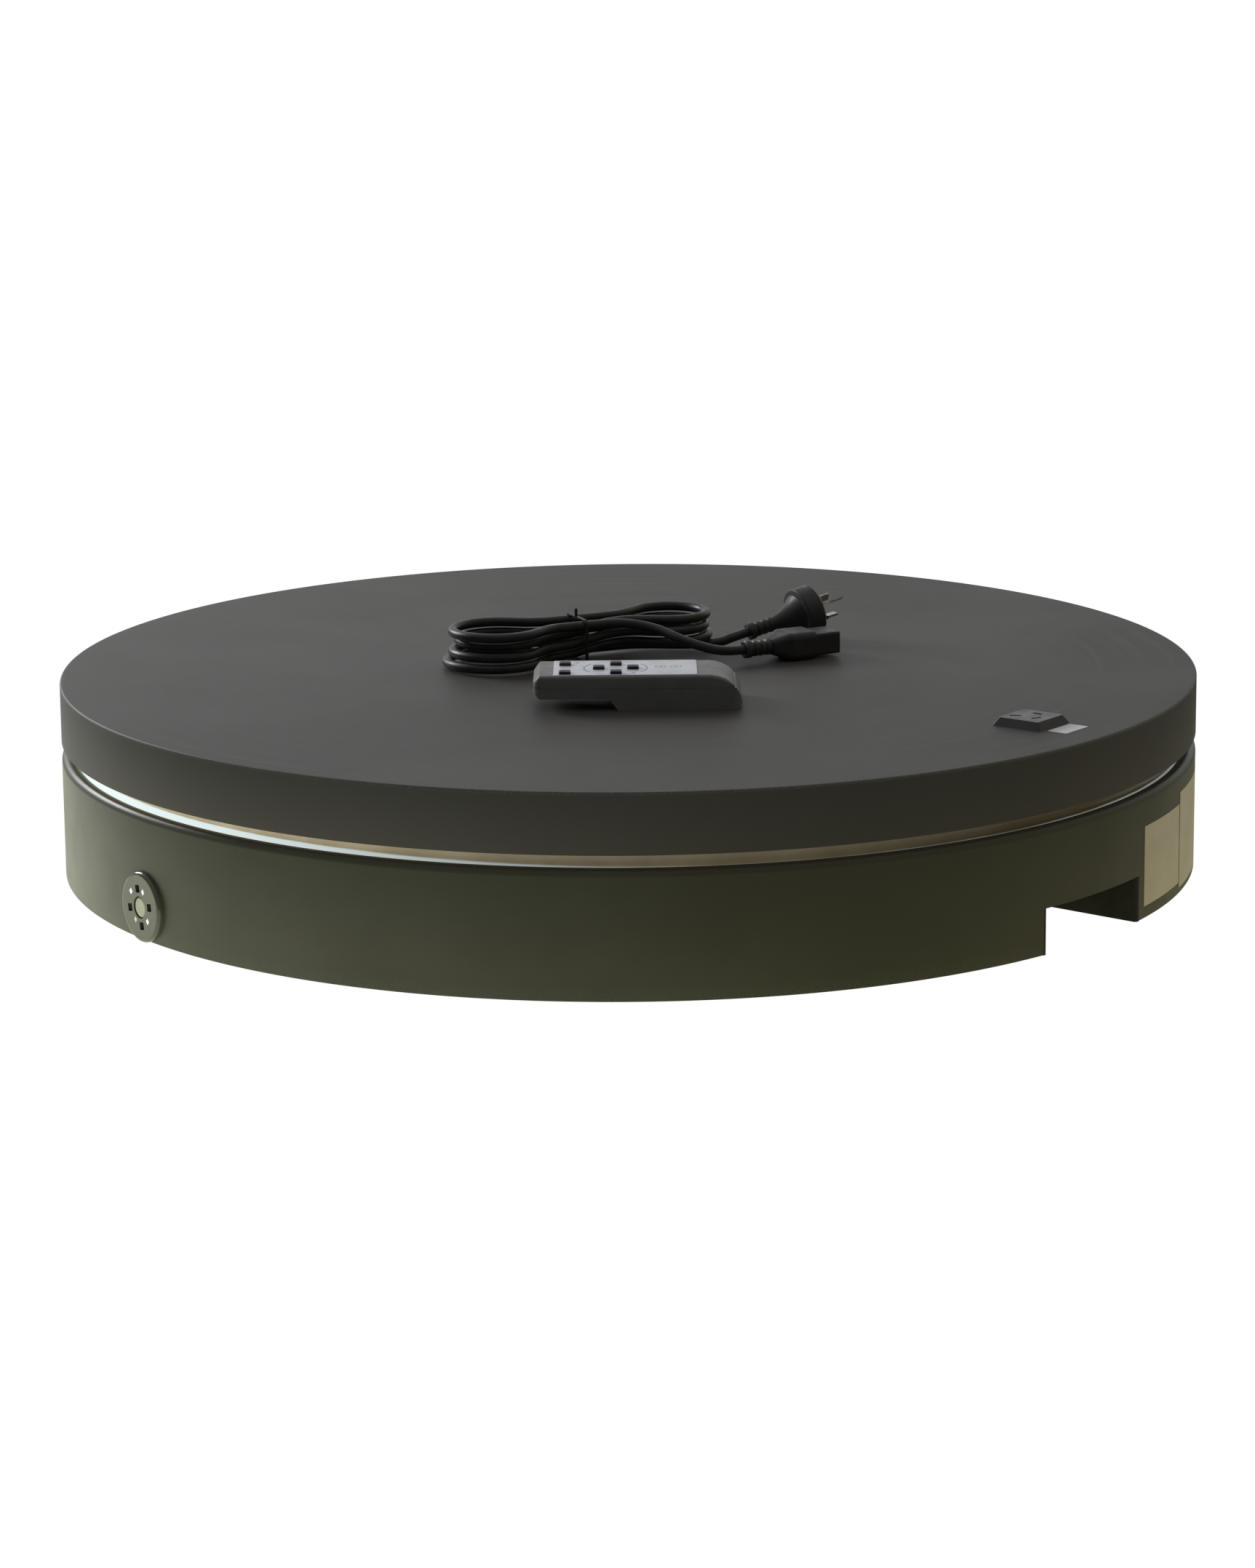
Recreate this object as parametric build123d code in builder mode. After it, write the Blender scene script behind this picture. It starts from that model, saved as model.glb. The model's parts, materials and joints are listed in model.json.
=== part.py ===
"""Motorised display turntable: a low round base, a platter that turns on it, and what lies on the platter.

The origin is on the floor under the centre of the base, and +Z is up. Sizes are in millimetres.
Azimuths are in degrees from +X towards +Y, and the front of the object faces -Y.
"""
from build123d import *
import os
from math import acos, atan, ceil, cos, degrees, hypot, pi, radians, sin, sqrt, tan

# Overall sizes
disc_radius = 400.0
total_height = 138.0
platter_height = 41.0
gap_height = 9.0
skirt_clearance = 1.5

# Base sheet metal
sheet = 2.5
lip_radius = 5.4
lip_leg_gap = 1.0
ledge_width = 26.0
bottom_flange = 15.0
plate_thickness = 2.0
plate_clearance = 0.3
deck_thickness = 3.0
deck_drop = 8.0

# Recess for the mains lead
notch_azimuth = -39.35
notch_height = 33.0
notch_half_width = 56.5
jamb_thickness = 4.0
jamb_rounding = 2.6
pocket_depth = 90.0
pocket_sheet = 2.0
pocket_tab = 10.0

# Mains inlet
inlet_height = 17.5
inlet_flange = (31.0, 24.0, 2.6)
inlet_case = (27.0, 19.8, 19.0)
inlet_cavity = (24.6, 16.6, 16.0)
inlet_clearance = 0.2
blade_inlet = (2.0, 4.0)
inlet_blade_places = ((-7.0, -2.2), (7.0, -2.2), (0.0, 3.2))

# Remote receiver
sensor_azimuth = -144.0
sensor_height = 24.7
bezel_radius = 24.0
bezel_stand = 3.6
bezel_rounding = 2.4
barrel_radius = 15.0
barrel_depth = 10.0
sensor_lens_radius = 7.5
window_size = 5.2
window_radius = 12.6
window_depth = 2.6
sensor_board_side = 26.0
sensor_board_thickness = 1.6

# Feet and screws
foot_radius = 18.0
foot_circle = 340.0
foot_count = 6
screw_radius = 2.0
screw_head_radius = 3.8
screw_head_height = 2.0
screw_length = 6.5
screw_clearance = 0.1
deck_screw_circle = 380.0
deck_screw_count = 8

# Dust ring in the gap
ring_clearance = 0.3
ring_wall = 2.0
ring_bulge = 2.5
ring_foot = 15.0
ring_rise = 6.0

# Centre bearing and housing
bearing_height = 14.0
bearing_outer_radius = 38.0
bearing_inner_radius = 20.0
race_thickness = 6.0
ball_radius = 4.2
ball_clearance = 0.05
ball_count = 12
cage_half_height = 5.6
cage_thickness = 2.8
housing_wall = 8.0
housing_step = 4.0
housing_foot_radius = 72.0
housing_foot_thickness = 4.0
housing_foot_circle = 60.0
shoulder_radius = 60.0
shoulder_thickness = 6.0
slip_ring_step = 6.0
press_clearance = 0.02

# Platter
cover_thickness = 3.0
cover_edge_radius = 1.2
core_thickness = 18.0
core_clearance = 0.3
track_thickness = 3.0
track_half_width = 20.0
roller_circle = 300.0
hub_flange_radius = 80.0
hub_flange_thickness = 8.0
hub_pilot_radius = 60.0
hub_bore_radius = 12.0
hub_neck = 5.0
hub_shoulder = 4.0
hub_bolt_circle = 70.0
hub_bolt_radius = 4.0
hub_bolt_head = 6.5
hub_bolt_head_height = 5.0
hub_bolt_depth = 10.0
hub_bolt_count = 6
wire_groove_width = 10.0
wire_groove_depth = 13.0

# Gears
gear_module = 2.0
ring_teeth = 120
pinion_teeth = 20
pressure_angle = radians(20.0)
backlash = 0.16
gear_thickness = 8.0
pinion_overhang = 1.0
pinion_azimuth = 90.0
pinion_shaft_radius = 5.0
running_clearance = 0.05
lightening_radius = 14.0
lightening_circle = 96.0

# Gear motor
gearbox_radius = 30.0
gearbox_height = 30.0
gearbox_boss_radius = 12.0
gearbox_boss_height = 2.0
motor_radius = 25.0
motor_floor_gap = 3.0

# Rollers
roller_count = 4
roller_first_azimuth = 45.0
roller_floor_gap = 1.0
roller_width = 14.0
roller_hub_radius = 7.0
roller_hub_width = 15.4
roller_axle_radius = 4.0
bracket_sheet = 3.0
bracket_inner_width = 16.0
bracket_half_length = 23.0
bracket_cheek_radius = 9.0
bracket_screw_offset = 18.0

# Slip ring
slip_body_radius = 14.0
slip_body_length = 40.0
slip_flange_thickness = 3.0
slip_shaft_radius = 6.0
slip_shaft_sink = 29.0
slip_dog_height = 4.0

# Power supply and control board
supply_size = (160.0, 98.0, 36.0)
supply_x = -200.0
supply_terminal = 14.0
board_size = (120.0, 80.0, 1.6)
board_y = -200.0
board_standoff = 8.0

# Outlet on the platter
outlet_centre = (268.0, -207.0)
outlet_azimuth = -37.7
outlet_side = 38.0
outlet_top_side = 31.0
outlet_proud = 5.5
outlet_body_side = 33.0
outlet_body_depth = 18.5
outlet_clearance = 0.4
outlet_pin_turn = 209.0
outlet_slot = (7.4, 2.6)
outlet_slot_depth = 12.0
outlet_contact = (8.4, 4.4, 6.6)
contact_clearance = 0.2

# Labels
paper = 0.2
socket_label_centre_radius = 367.5
socket_label_azimuth = -37.6
socket_label_size = (14.8, 27.5)
base_label_extents = ((-30.2, -19.9, 10.0, 65.5), (-19.6, -9.4, 6.0, 73.4))

# Remote control, measured from its left end and its centre line
remote_left = -64.5
remote_centre_y = -127.0
remote_length = 142.0
remote_width = 54.0
remote_height = 24.0
remote_step = 51.5
remote_thin_under = 8.0
remote_wall = 2.0
remote_corner = 7.0
remote_split = 15.0
faceplate_start = 13.5
faceplate_length = 98.0
faceplate_width = 50.0
faceplate_thickness = 0.6
button_side = 8.0
button_clearance = 0.2
button_proud = 2.2
button_flange = 1.0
button_flange_side = 9.6
button_stop_gap = 0.1
button_depth = 5.9
button_places = ((21.5, 10.5), (21.5, -19.0), (44.5, -3.0), (56.2, 10.5), (67.8, -3.0), (56.2, -18.5))
remote_board_size = (92.0, 44.0, 1.2)
remote_board_start = 4.0
remote_board_height = 14.0
remote_led_radius = 2.4
door_start = 60.0
door_end = 139.0
door_half_width = 20.0
door_thickness = 1.6
door_lift = 0.4
door_clearance = 0.3
battery_radius = 5.25
battery_length = 44.5
battery_start = 63.0
battery_offset = 6.5
terminal_thickness = 0.8

# Power lead
cord_diameter = 6.8
cord_radius = cord_diameter / 2
tie_place = (-32.0, 26.0)
hank_turn = 24.0
hank_lift = 1.5
layer_step = 7.4
waist_half = 18.0
waist_back = 9.0
waist_front = (-9.0, -12.0, -9.0, -16.6)
left_radii = (34.0, 31.0, 28.0, 31.0)
left_ends = (102.0, 98.0, 93.0, 99.0)
right_radii = (31.0, 29.0, 27.0)
right_ends = (95.0, 92.0, 94.0)
hank_exit_x = 2.0
tie_x = -6.0
tie_width = 2.4
tie_thickness = 0.8
tie_clearance = 0.3

# Plug and connector on the lead
plug_length = 56.0
plug_flange_radius = 19.0
plug_pin_turn = -120.0
pin_size = (6.35, 1.63)
pin_sunk = 8.0
pin_long = 19.94
pin_short = 17.06
pin_places = ((-6.86, 3.96, 60.0), (6.86, 3.96, 120.0), (0.0, -10.31, 90.0))
sleeve_length = 9.0
sleeve_wall = 0.35
connector_length = 72.0
connector_body = (27.0, 20.0)
connector_nose = (23.6, 15.8)
connector_slot = (1.9, 4.2)

# Levels worked out from the sizes above
platter_bottom = total_height - platter_height
base_top = platter_bottom - gap_height
flange_top = skirt_clearance + sheet
plate_top = flange_top + plate_thickness
deck_top = base_top - deck_drop
deck_bottom = deck_top - deck_thickness
skirt_inner = disc_radius - sheet
lip_inner = disc_radius - 2 * lip_radius
deck_radius = lip_inner - plate_clearance
core_top = total_height - cover_thickness
core_bottom = core_top - core_thickness
track_bottom = core_bottom - track_thickness
hub_flange_bottom = core_bottom - hub_flange_thickness
gear_bottom = hub_flange_bottom - gear_thickness
bearing_top = gear_bottom - hub_neck
bearing_bottom = bearing_top - bearing_height
pitch_radius = (bearing_inner_radius + bearing_outer_radius) / 2
stator_top = bearing_bottom - hub_shoulder - slip_ring_step + 1.0
wheel_space = track_bottom - deck_top - bracket_sheet - roller_floor_gap
wheel_radius = wheel_space / 2
axle_height = track_bottom - wheel_radius
notch_back = disc_radius - pocket_depth
gear_distance = gear_module * (ring_teeth + pinion_teeth) / 2
remote_mid = remote_left + remote_length / 2


def spot(azimuth, radius, height=0.0):
    """Point at an azimuth, a radius and a height."""
    return (radius * cos(radians(azimuth)), radius * sin(radians(azimuth)), height)


def radial_plane(azimuth, height=0.0):
    """Level plane through the Z axis whose x runs outwards at an azimuth."""
    return Plane(origin=(0, 0, height), x_dir=spot(azimuth, 1.0), z_dir=(0, 0, 1))


def outward_plane(azimuth, radius, height):
    """Upright plane that faces outwards, with y up."""
    return Plane(origin=spot(azimuth, radius, height), x_dir=spot(azimuth + 90, 1.0), z_dir=spot(azimuth, 1.0))


def upright_plane(azimuth, radius, height):
    """Upright plane through the Z axis, with x outwards and y up."""
    return Plane(origin=spot(azimuth, radius, height), x_dir=spot(azimuth, 1.0), z_dir=spot(azimuth - 90, 1.0))


def keep(part, label):
    """Label a finished piece and write it."""
    part.label = label
    export_step(part, f"parts/{label}.step")


# Base
def make_base_shell():
    """Skirt with a rolled lip, a ledge for the deck and a bottom flange, cut for the recess."""
    lip_height = base_top - lip_radius
    lip_centre = disc_radius - lip_radius
    leg_inner = lip_inner + sheet
    leg_bottom = deck_bottom + lip_leg_gap
    ledge_inner = disc_radius - ledge_width
    with BuildPart() as base_shell:
        with BuildSketch(Plane.XZ):
            with BuildLine():
                ThreePointArc((disc_radius, lip_height), (lip_centre, base_top), (lip_inner, lip_height))
                Polyline((lip_inner, lip_height), (lip_inner, leg_bottom), (leg_inner, leg_bottom), (leg_inner, lip_height))
                ThreePointArc((leg_inner, lip_height), (lip_centre, base_top - sheet), (skirt_inner, lip_height))
                Polyline(
                    (skirt_inner, lip_height),
                    (skirt_inner, deck_bottom),
                    (ledge_inner, deck_bottom),
                    (ledge_inner, deck_bottom - sheet),
                    (skirt_inner, deck_bottom - sheet),
                    (skirt_inner, flange_top),
                    (disc_radius - bottom_flange, flange_top),
                    (disc_radius - bottom_flange, skirt_clearance),
                    (disc_radius, skirt_clearance),
                    (disc_radius, lip_height),
                )
            make_face()
        revolve(axis=Axis.Z)
        with BuildSketch(radial_plane(notch_azimuth)):
            with Locations((disc_radius, 0)):
                Rectangle(2 * ledge_width, 2 * notch_half_width)
        extrude(amount=notch_height, mode=Mode.SUBTRACT)
        with BuildSketch(outward_plane(sensor_azimuth, disc_radius - 2 * sheet, sensor_height)):
            Circle(barrel_radius + inlet_clearance)
        extrude(amount=4 * sheet, mode=Mode.SUBTRACT)
        with BuildSketch(Plane.XY.offset(deck_bottom - 2 * sheet)):
            with PolarLocations(deck_screw_circle, deck_screw_count):
                Circle(screw_radius + screw_clearance)
        extrude(amount=4 * sheet, mode=Mode.SUBTRACT)
    return base_shell.part


def make_base_plate():
    """Round bottom plate that lies on the skirt's flange, cut for the recess."""
    with BuildPart() as base_plate:
        with BuildSketch(Plane.XY.offset(flange_top)):
            Circle(skirt_inner - plate_clearance)
            with PolarLocations(foot_circle, foot_count):
                Circle(screw_radius + screw_clearance, mode=Mode.SUBTRACT)
            with PolarLocations(housing_foot_circle, 4, start_angle=45):
                Circle(screw_radius + screw_clearance, mode=Mode.SUBTRACT)
        extrude(amount=plate_thickness)
        with BuildSketch(radial_plane(notch_azimuth)):
            with Locations((disc_radius, 0)):
                Rectangle(2 * (pocket_depth + pocket_sheet + plate_clearance), 2 * (notch_half_width + plate_clearance))
        extrude(amount=base_top, mode=Mode.SUBTRACT)
    return base_plate.part


def make_deck_plate():
    """Steel deck that carries the rollers and the motor."""
    with BuildPart() as deck_plate:
        with BuildSketch(Plane.XY.offset(deck_bottom)):
            Circle(deck_radius)
            Circle(bearing_outer_radius + housing_wall + plate_clearance, mode=Mode.SUBTRACT)
            with Locations(spot(pinion_azimuth, gear_distance)[:2]):
                Circle(gearbox_boss_radius + plate_clearance, mode=Mode.SUBTRACT)
            with PolarLocations(deck_screw_circle, deck_screw_count):
                Circle(screw_radius + screw_clearance, mode=Mode.SUBTRACT)
            with PolarLocations(roller_circle, roller_count, start_angle=roller_first_azimuth):
                with Locations((0, bracket_screw_offset), (0, -bracket_screw_offset)):
                    Circle(screw_radius + screw_clearance, mode=Mode.SUBTRACT)
        extrude(amount=deck_thickness)
    return deck_plate.part


def make_recess_pocket():
    """Moulded box behind the opening: two jambs, a ceiling and a back wall with the inlet's cut-out."""
    back = notch_back - pocket_sheet
    length = disc_radius - back
    middle = back + length / 2
    with BuildPart() as recess_pocket:
        with BuildSketch(radial_plane(notch_azimuth, skirt_clearance)) as walls:
            with Locations((middle, 0)):
                Rectangle(length, 2 * notch_half_width)
            with Locations((notch_back + pocket_depth, 0)):
                Rectangle(2 * pocket_depth, 2 * (notch_half_width - jamb_thickness), mode=Mode.SUBTRACT)
            Circle(disc_radius, mode=Mode.INTERSECT)
            mouth = [corner for corner in walls.vertices() if hypot(corner.X, corner.Y) > disc_radius - 0.5
                     and abs(corner.Y) < notch_half_width - jamb_thickness / 2]
            fillet(mouth, jamb_rounding)
        extrude(amount=notch_height - skirt_clearance)
        with BuildSketch(radial_plane(notch_azimuth, notch_height)):
            with Locations((middle, 0)):
                Rectangle(length, 2 * notch_half_width)
            Circle(skirt_inner - plate_clearance, mode=Mode.INTERSECT)
        extrude(amount=pocket_sheet)
        with BuildSketch(radial_plane(notch_azimuth, plate_top)):
            with Locations((middle - sheet, 0)):
                Rectangle(length / 2, 2 * (notch_half_width + pocket_tab))
                Rectangle(length / 2, 2 * (notch_half_width - jamb_thickness / 2), mode=Mode.SUBTRACT)
        extrude(amount=pocket_sheet)
        with BuildSketch(outward_plane(notch_azimuth, notch_back - 2 * pocket_sheet, inlet_height)):
            Rectangle(inlet_case[0] + 2 * inlet_clearance, inlet_case[1] + 2 * inlet_clearance)
        extrude(amount=3 * pocket_sheet, mode=Mode.SUBTRACT)
    return recess_pocket.part


def make_inlet_body():
    """Mains inlet: a flange on the pocket's back wall, a case behind it and a cavity for the connector."""
    face = outward_plane(notch_azimuth, notch_back, inlet_height)
    with BuildPart() as inlet_body:
        with BuildSketch(face):
            RectangleRounded(inlet_flange[0], inlet_flange[1], 2.0)
        extrude(amount=inlet_flange[2])
        with BuildSketch(face):
            RectangleRounded(inlet_case[0], inlet_case[1], 1.0)
        extrude(amount=-inlet_case[2])
        with BuildSketch(face.offset(inlet_flange[2])):
            RectangleRounded(inlet_cavity[0], inlet_cavity[1], 1.6)
        extrude(amount=-inlet_cavity[2], mode=Mode.SUBTRACT)
        with BuildSketch(face.offset(-inlet_case[2])):
            with Locations(*inlet_blade_places):
                Rectangle(blade_inlet[0] + 2 * press_clearance, blade_inlet[1] + 2 * press_clearance)
        extrude(amount=inlet_case[2], mode=Mode.SUBTRACT)
    return inlet_body.part


def make_inlet_pins():
    """Three flat blades in the inlet, with tabs behind it for the wires."""
    face = outward_plane(notch_azimuth, notch_back - inlet_case[2] - 8.0, inlet_height)
    with BuildPart() as inlet_pins:
        with BuildSketch(face):
            with Locations(*inlet_blade_places):
                Rectangle(*blade_inlet)
        extrude(amount=inlet_case[2] + 8.0)
    return inlet_pins.part


def make_sensor_bezel():
    """Round bezel of the remote receiver, with four square windows round the lens."""
    face = outward_plane(sensor_azimuth, disc_radius, sensor_height)
    with BuildPart() as sensor_bezel:
        with BuildSketch(face.offset(-1.0)):
            Circle(bezel_radius)
        extrude(amount=bezel_stand + 1.0)
        rim = sensor_bezel.edges().filter_by(GeomType.CIRCLE).sort_by(lambda edge: edge.center().dot(face.z_dir))[-1]
        fillet(rim, bezel_rounding)
        with BuildSketch(Plane.XY):
            Circle(disc_radius)
        extrude(amount=base_top, mode=Mode.SUBTRACT)
        with BuildSketch(face.offset(-barrel_depth)):
            Circle(barrel_radius)
        extrude(amount=barrel_depth + 1.0)
        with BuildSketch(face.offset(bezel_stand)):
            with PolarLocations(window_radius, 4, start_angle=10):
                Rectangle(window_size, window_size)
        extrude(amount=-window_depth, mode=Mode.SUBTRACT)
        with BuildSketch(face.offset(-2 * barrel_depth)):
            Circle(sensor_lens_radius + running_clearance)
        extrude(amount=4 * barrel_depth, mode=Mode.SUBTRACT)
    return sensor_bezel.part


def make_sensor_lens():
    """Clear domed lens in the middle of the bezel."""
    face = outward_plane(sensor_azimuth, disc_radius, sensor_height)
    with BuildPart() as sensor_lens:
        with BuildSketch(face.offset(-barrel_depth / 2)):
            Circle(sensor_lens_radius)
        extrude(amount=barrel_depth / 2 + bezel_stand - 0.4)
        rim = sensor_lens.edges().filter_by(GeomType.CIRCLE).sort_by(lambda edge: edge.center().dot(face.z_dir))[-1]
        fillet(rim, 2.0)
    return sensor_lens.part


def make_sensor_board():
    """Small circuit board behind the bezel, with its receiver reaching into the barrel."""
    face = outward_plane(sensor_azimuth, disc_radius - barrel_depth, sensor_height)
    with BuildPart() as sensor_board:
        with BuildSketch(face.offset(-sensor_board_thickness)):
            Rectangle(sensor_board_side, sensor_board_side)
        extrude(amount=sensor_board_thickness)
        with BuildSketch(face):
            Rectangle(6.0, 7.0)
        extrude(amount=4.0)
    return sensor_board.part


def make_gap_ring():
    """Spun ring that closes the gap, with a foot on the deck and a cove that opens towards the lip."""
    outer = lip_inner - ring_clearance
    inner = outer - ring_wall
    bulge_top = base_top + ring_rise / 2
    bulge_bottom = base_top - 1.5
    ring_top = platter_bottom + ring_rise
    cove = ((bulge_top - bulge_bottom) ** 2 + ring_bulge ** 2) / (2 * ring_bulge)
    with BuildPart() as gap_ring:
        with BuildSketch(Plane.XZ):
            with BuildLine():
                Polyline(
                    (inner - ring_bulge, bulge_top),
                    (inner - ring_bulge, ring_top),
                    (outer - ring_bulge, ring_top),
                    (outer - ring_bulge, bulge_top),
                )
                middle = atan(ring_bulge / (bulge_top - bulge_bottom))
                waist = (outer - ring_bulge + cove * (1 - cos(middle)), bulge_top - cove * sin(middle))
                ThreePointArc((outer - ring_bulge, bulge_top), waist, (outer, bulge_bottom))
                Polyline(
                    (outer, bulge_bottom),
                    (outer, deck_top),
                    (outer - ring_foot, deck_top),
                    (outer - ring_foot, deck_top + ring_wall),
                    (inner, deck_top + ring_wall),
                    (inner, bulge_bottom - 0.5),
                    (inner - ring_bulge, bulge_top),
                )
            make_face()
        revolve(axis=Axis.Z)
        with BuildSketch(Plane.XY.offset(deck_top)):
            with PolarLocations(deck_screw_circle, deck_screw_count):
                Circle(screw_radius + screw_clearance)
        extrude(amount=ring_wall, mode=Mode.SUBTRACT)
    return gap_ring.part


def make_feet():
    """Round rubber pads under the base plate, each with a counterbore for its screw."""
    with BuildPart() as feet:
        with BuildSketch(Plane.XY):
            with PolarLocations(foot_circle, foot_count):
                Circle(foot_radius)
        extrude(amount=flange_top)
        with BuildSketch(Plane.XY):
            with PolarLocations(foot_circle, foot_count):
                Circle(screw_radius + screw_clearance)
        extrude(amount=flange_top, mode=Mode.SUBTRACT)
        with BuildSketch(Plane.XY):
            with PolarLocations(foot_circle, foot_count):
                Circle(screw_head_radius + screw_clearance)
        extrude(amount=screw_head_height + 0.4, mode=Mode.SUBTRACT)
    return feet.part


def make_case_screws():
    """All the identical screws of the base: feet, deck rim, bearing housing and roller brackets."""
    deck_seats = [spot(360 / deck_screw_count * i, deck_screw_circle, deck_top + ring_wall)
                  for i in range(deck_screw_count)]
    foot_seats = [spot(360 / foot_count * i, foot_circle, screw_head_height + 0.4) for i in range(foot_count)]
    housing_seats = [spot(45 + 90 * i, housing_foot_circle, plate_top + housing_foot_thickness) for i in range(4)]
    bracket_seats = []
    for i in range(roller_count):
        plane = radial_plane(roller_first_azimuth + 360 / roller_count * i, deck_top + bracket_sheet)
        for side in (-1, 1):
            bracket_seats.append(plane.from_local_coords((roller_circle, side * bracket_screw_offset, 0)))
    head_up = [(seat, 1) for seat in deck_seats + housing_seats + bracket_seats]
    head_down = [(seat, -1) for seat in foot_seats]
    with BuildPart() as case_screws:
        for seat, way in head_up + head_down:
            with BuildSketch(Plane(origin=seat)):
                Circle(screw_head_radius)
            extrude(amount=way * screw_head_height)
            with BuildSketch(Plane(origin=seat)):
                Circle(screw_radius)
            extrude(amount=-way * screw_length)
    return case_screws.part


def make_bearing_housing():
    """Turned pedestal from the base plate to the centre bearing, with a shoulder under the deck."""
    tube = bearing_outer_radius + housing_wall
    bore = bearing_outer_radius - housing_step
    narrow = bore - slip_ring_step
    ledge = stator_top - slip_flange_thickness
    foot_top = plate_top + housing_foot_thickness
    with BuildPart() as bearing_housing:
        with BuildSketch(Plane.XZ):
            with BuildLine():
                Polyline(
                    (narrow, plate_top),
                    (housing_foot_radius, plate_top),
                    (housing_foot_radius, foot_top),
                    (tube, foot_top),
                    (tube, deck_bottom - shoulder_thickness),
                    (shoulder_radius, deck_bottom - shoulder_thickness),
                    (shoulder_radius, deck_bottom),
                    (tube, deck_bottom),
                    (tube, bearing_top),
                    (bearing_outer_radius + press_clearance, bearing_top),
                    (bearing_outer_radius + press_clearance, bearing_bottom),
                    (bore, bearing_bottom),
                    (bore, ledge),
                    (narrow, ledge),
                    close=True,
                )
            make_face()
        revolve(axis=Axis.Z)
        with BuildSketch(Plane.XY.offset(plate_top)):
            with PolarLocations(housing_foot_circle, 4, start_angle=45):
                Circle(screw_radius + screw_clearance)
        extrude(amount=housing_foot_thickness, mode=Mode.SUBTRACT)
        with BuildSketch(outward_plane(180, 0, foot_top + 10)):
            SlotOverall(16.0, 12.0)
        extrude(amount=housing_foot_radius, mode=Mode.SUBTRACT)
    return bearing_housing.part


# Centre bearing
def make_race(inner_radius, outer_radius, label_groove):
    """Bearing race between two radii, with a ball groove on the side of label_groove."""
    middle = (bearing_top + bearing_bottom) / 2
    with BuildPart() as race:
        with BuildSketch(Plane.XZ):
            with Locations(((inner_radius + outer_radius) / 2, middle)):
                Rectangle(outer_radius - inner_radius, bearing_height)
            with Locations((label_groove, middle)):
                Circle(ball_radius + ball_clearance, mode=Mode.SUBTRACT)
        revolve(axis=Axis.Z)
    return race.part


def make_bearing_cage():
    """Ring with a round pocket for each ball."""
    middle = (bearing_top + bearing_bottom) / 2
    with BuildPart() as bearing_cage:
        with BuildSketch(Plane.XY.offset(middle - cage_half_height)):
            Circle(pitch_radius + cage_thickness / 2)
            Circle(pitch_radius - cage_thickness / 2, mode=Mode.SUBTRACT)
        extrude(amount=2 * cage_half_height)
        for i in range(ball_count):
            with BuildSketch(outward_plane(360 / ball_count * i, pitch_radius - cage_thickness, middle)):
                Circle(ball_radius + 2 * ball_clearance)
            extrude(amount=2 * cage_thickness, mode=Mode.SUBTRACT)
    return bearing_cage.part


def make_bearing_balls():
    """Ring of steel balls."""
    middle = (bearing_top + bearing_bottom) / 2
    with BuildPart() as bearing_balls:
        with Locations((0, 0, middle)):
            with PolarLocations(pitch_radius, ball_count):
                Sphere(ball_radius)
    return bearing_balls.part


# Slip ring
def make_slip_ring_stator():
    """Fixed half of the slip ring: a capsule under a flange that lies on the housing's ledge."""
    bore = bearing_outer_radius - housing_step
    with BuildPart() as slip_ring_stator:
        with BuildSketch(Plane.XY.offset(stator_top - slip_flange_thickness - slip_body_length)):
            Circle(slip_body_radius)
        extrude(amount=slip_body_length + slip_flange_thickness)
        with BuildSketch(Plane.XY.offset(stator_top - slip_flange_thickness)):
            Circle(bore - 0.1)
        extrude(amount=slip_flange_thickness)
        with BuildSketch(Plane.XY.offset(stator_top)):
            Circle(slip_shaft_radius + running_clearance)
        extrude(amount=-slip_shaft_sink - 4.0, mode=Mode.SUBTRACT)
    return slip_ring_stator.part


def make_slip_ring_rotor():
    """Turning shaft of the slip ring, with a dog that fits the hub's bore."""
    with BuildPart() as slip_ring_rotor:
        with BuildSketch(Plane.XY.offset(stator_top - slip_shaft_sink)):
            Circle(slip_shaft_radius)
        extrude(amount=core_bottom + 1.0 - stator_top + slip_shaft_sink)
        with BuildSketch(Plane.XY.offset(bearing_bottom + slip_dog_height)):
            Circle(hub_bore_radius - press_clearance)
        extrude(amount=slip_dog_height)
    return slip_ring_rotor.part


# Drive
def tooth_half_angle(radius, teeth):
    """Half the angle that one involute tooth takes at a radius."""
    pitch = gear_module * teeth / 2
    base = pitch * cos(pressure_angle)
    roll = acos(min(1.0, base / max(radius, base)))
    pitch_roll = tan(pressure_angle) - pressure_angle
    return pi / (2 * teeth) - backlash / (2 * pitch) + pitch_roll - (tan(roll) - roll)


def gear_outline(teeth, first_tooth):
    """Corner points of a spur gear, with one tooth centred at first_tooth degrees."""
    pitch = gear_module * teeth / 2
    root = pitch - 1.25 * gear_module
    tip = pitch + gear_module
    foot = max(root, pitch * cos(pressure_angle))
    steps = [foot + (tip - foot) * i / 3 for i in range(4)]
    points = []
    for tooth in range(teeth):
        centre = radians(first_tooth) + 2 * pi * tooth / teeth
        rise = [(root, -tooth_half_angle(foot, teeth))] if root < foot - 0.01 else []
        rise += [(radius, -tooth_half_angle(radius, teeth)) for radius in steps]
        flank = rise + [(radius, -angle) for radius, angle in reversed(rise)]
        points += [(radius * cos(centre + angle), radius * sin(centre + angle)) for radius, angle in flank]
    return points


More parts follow.
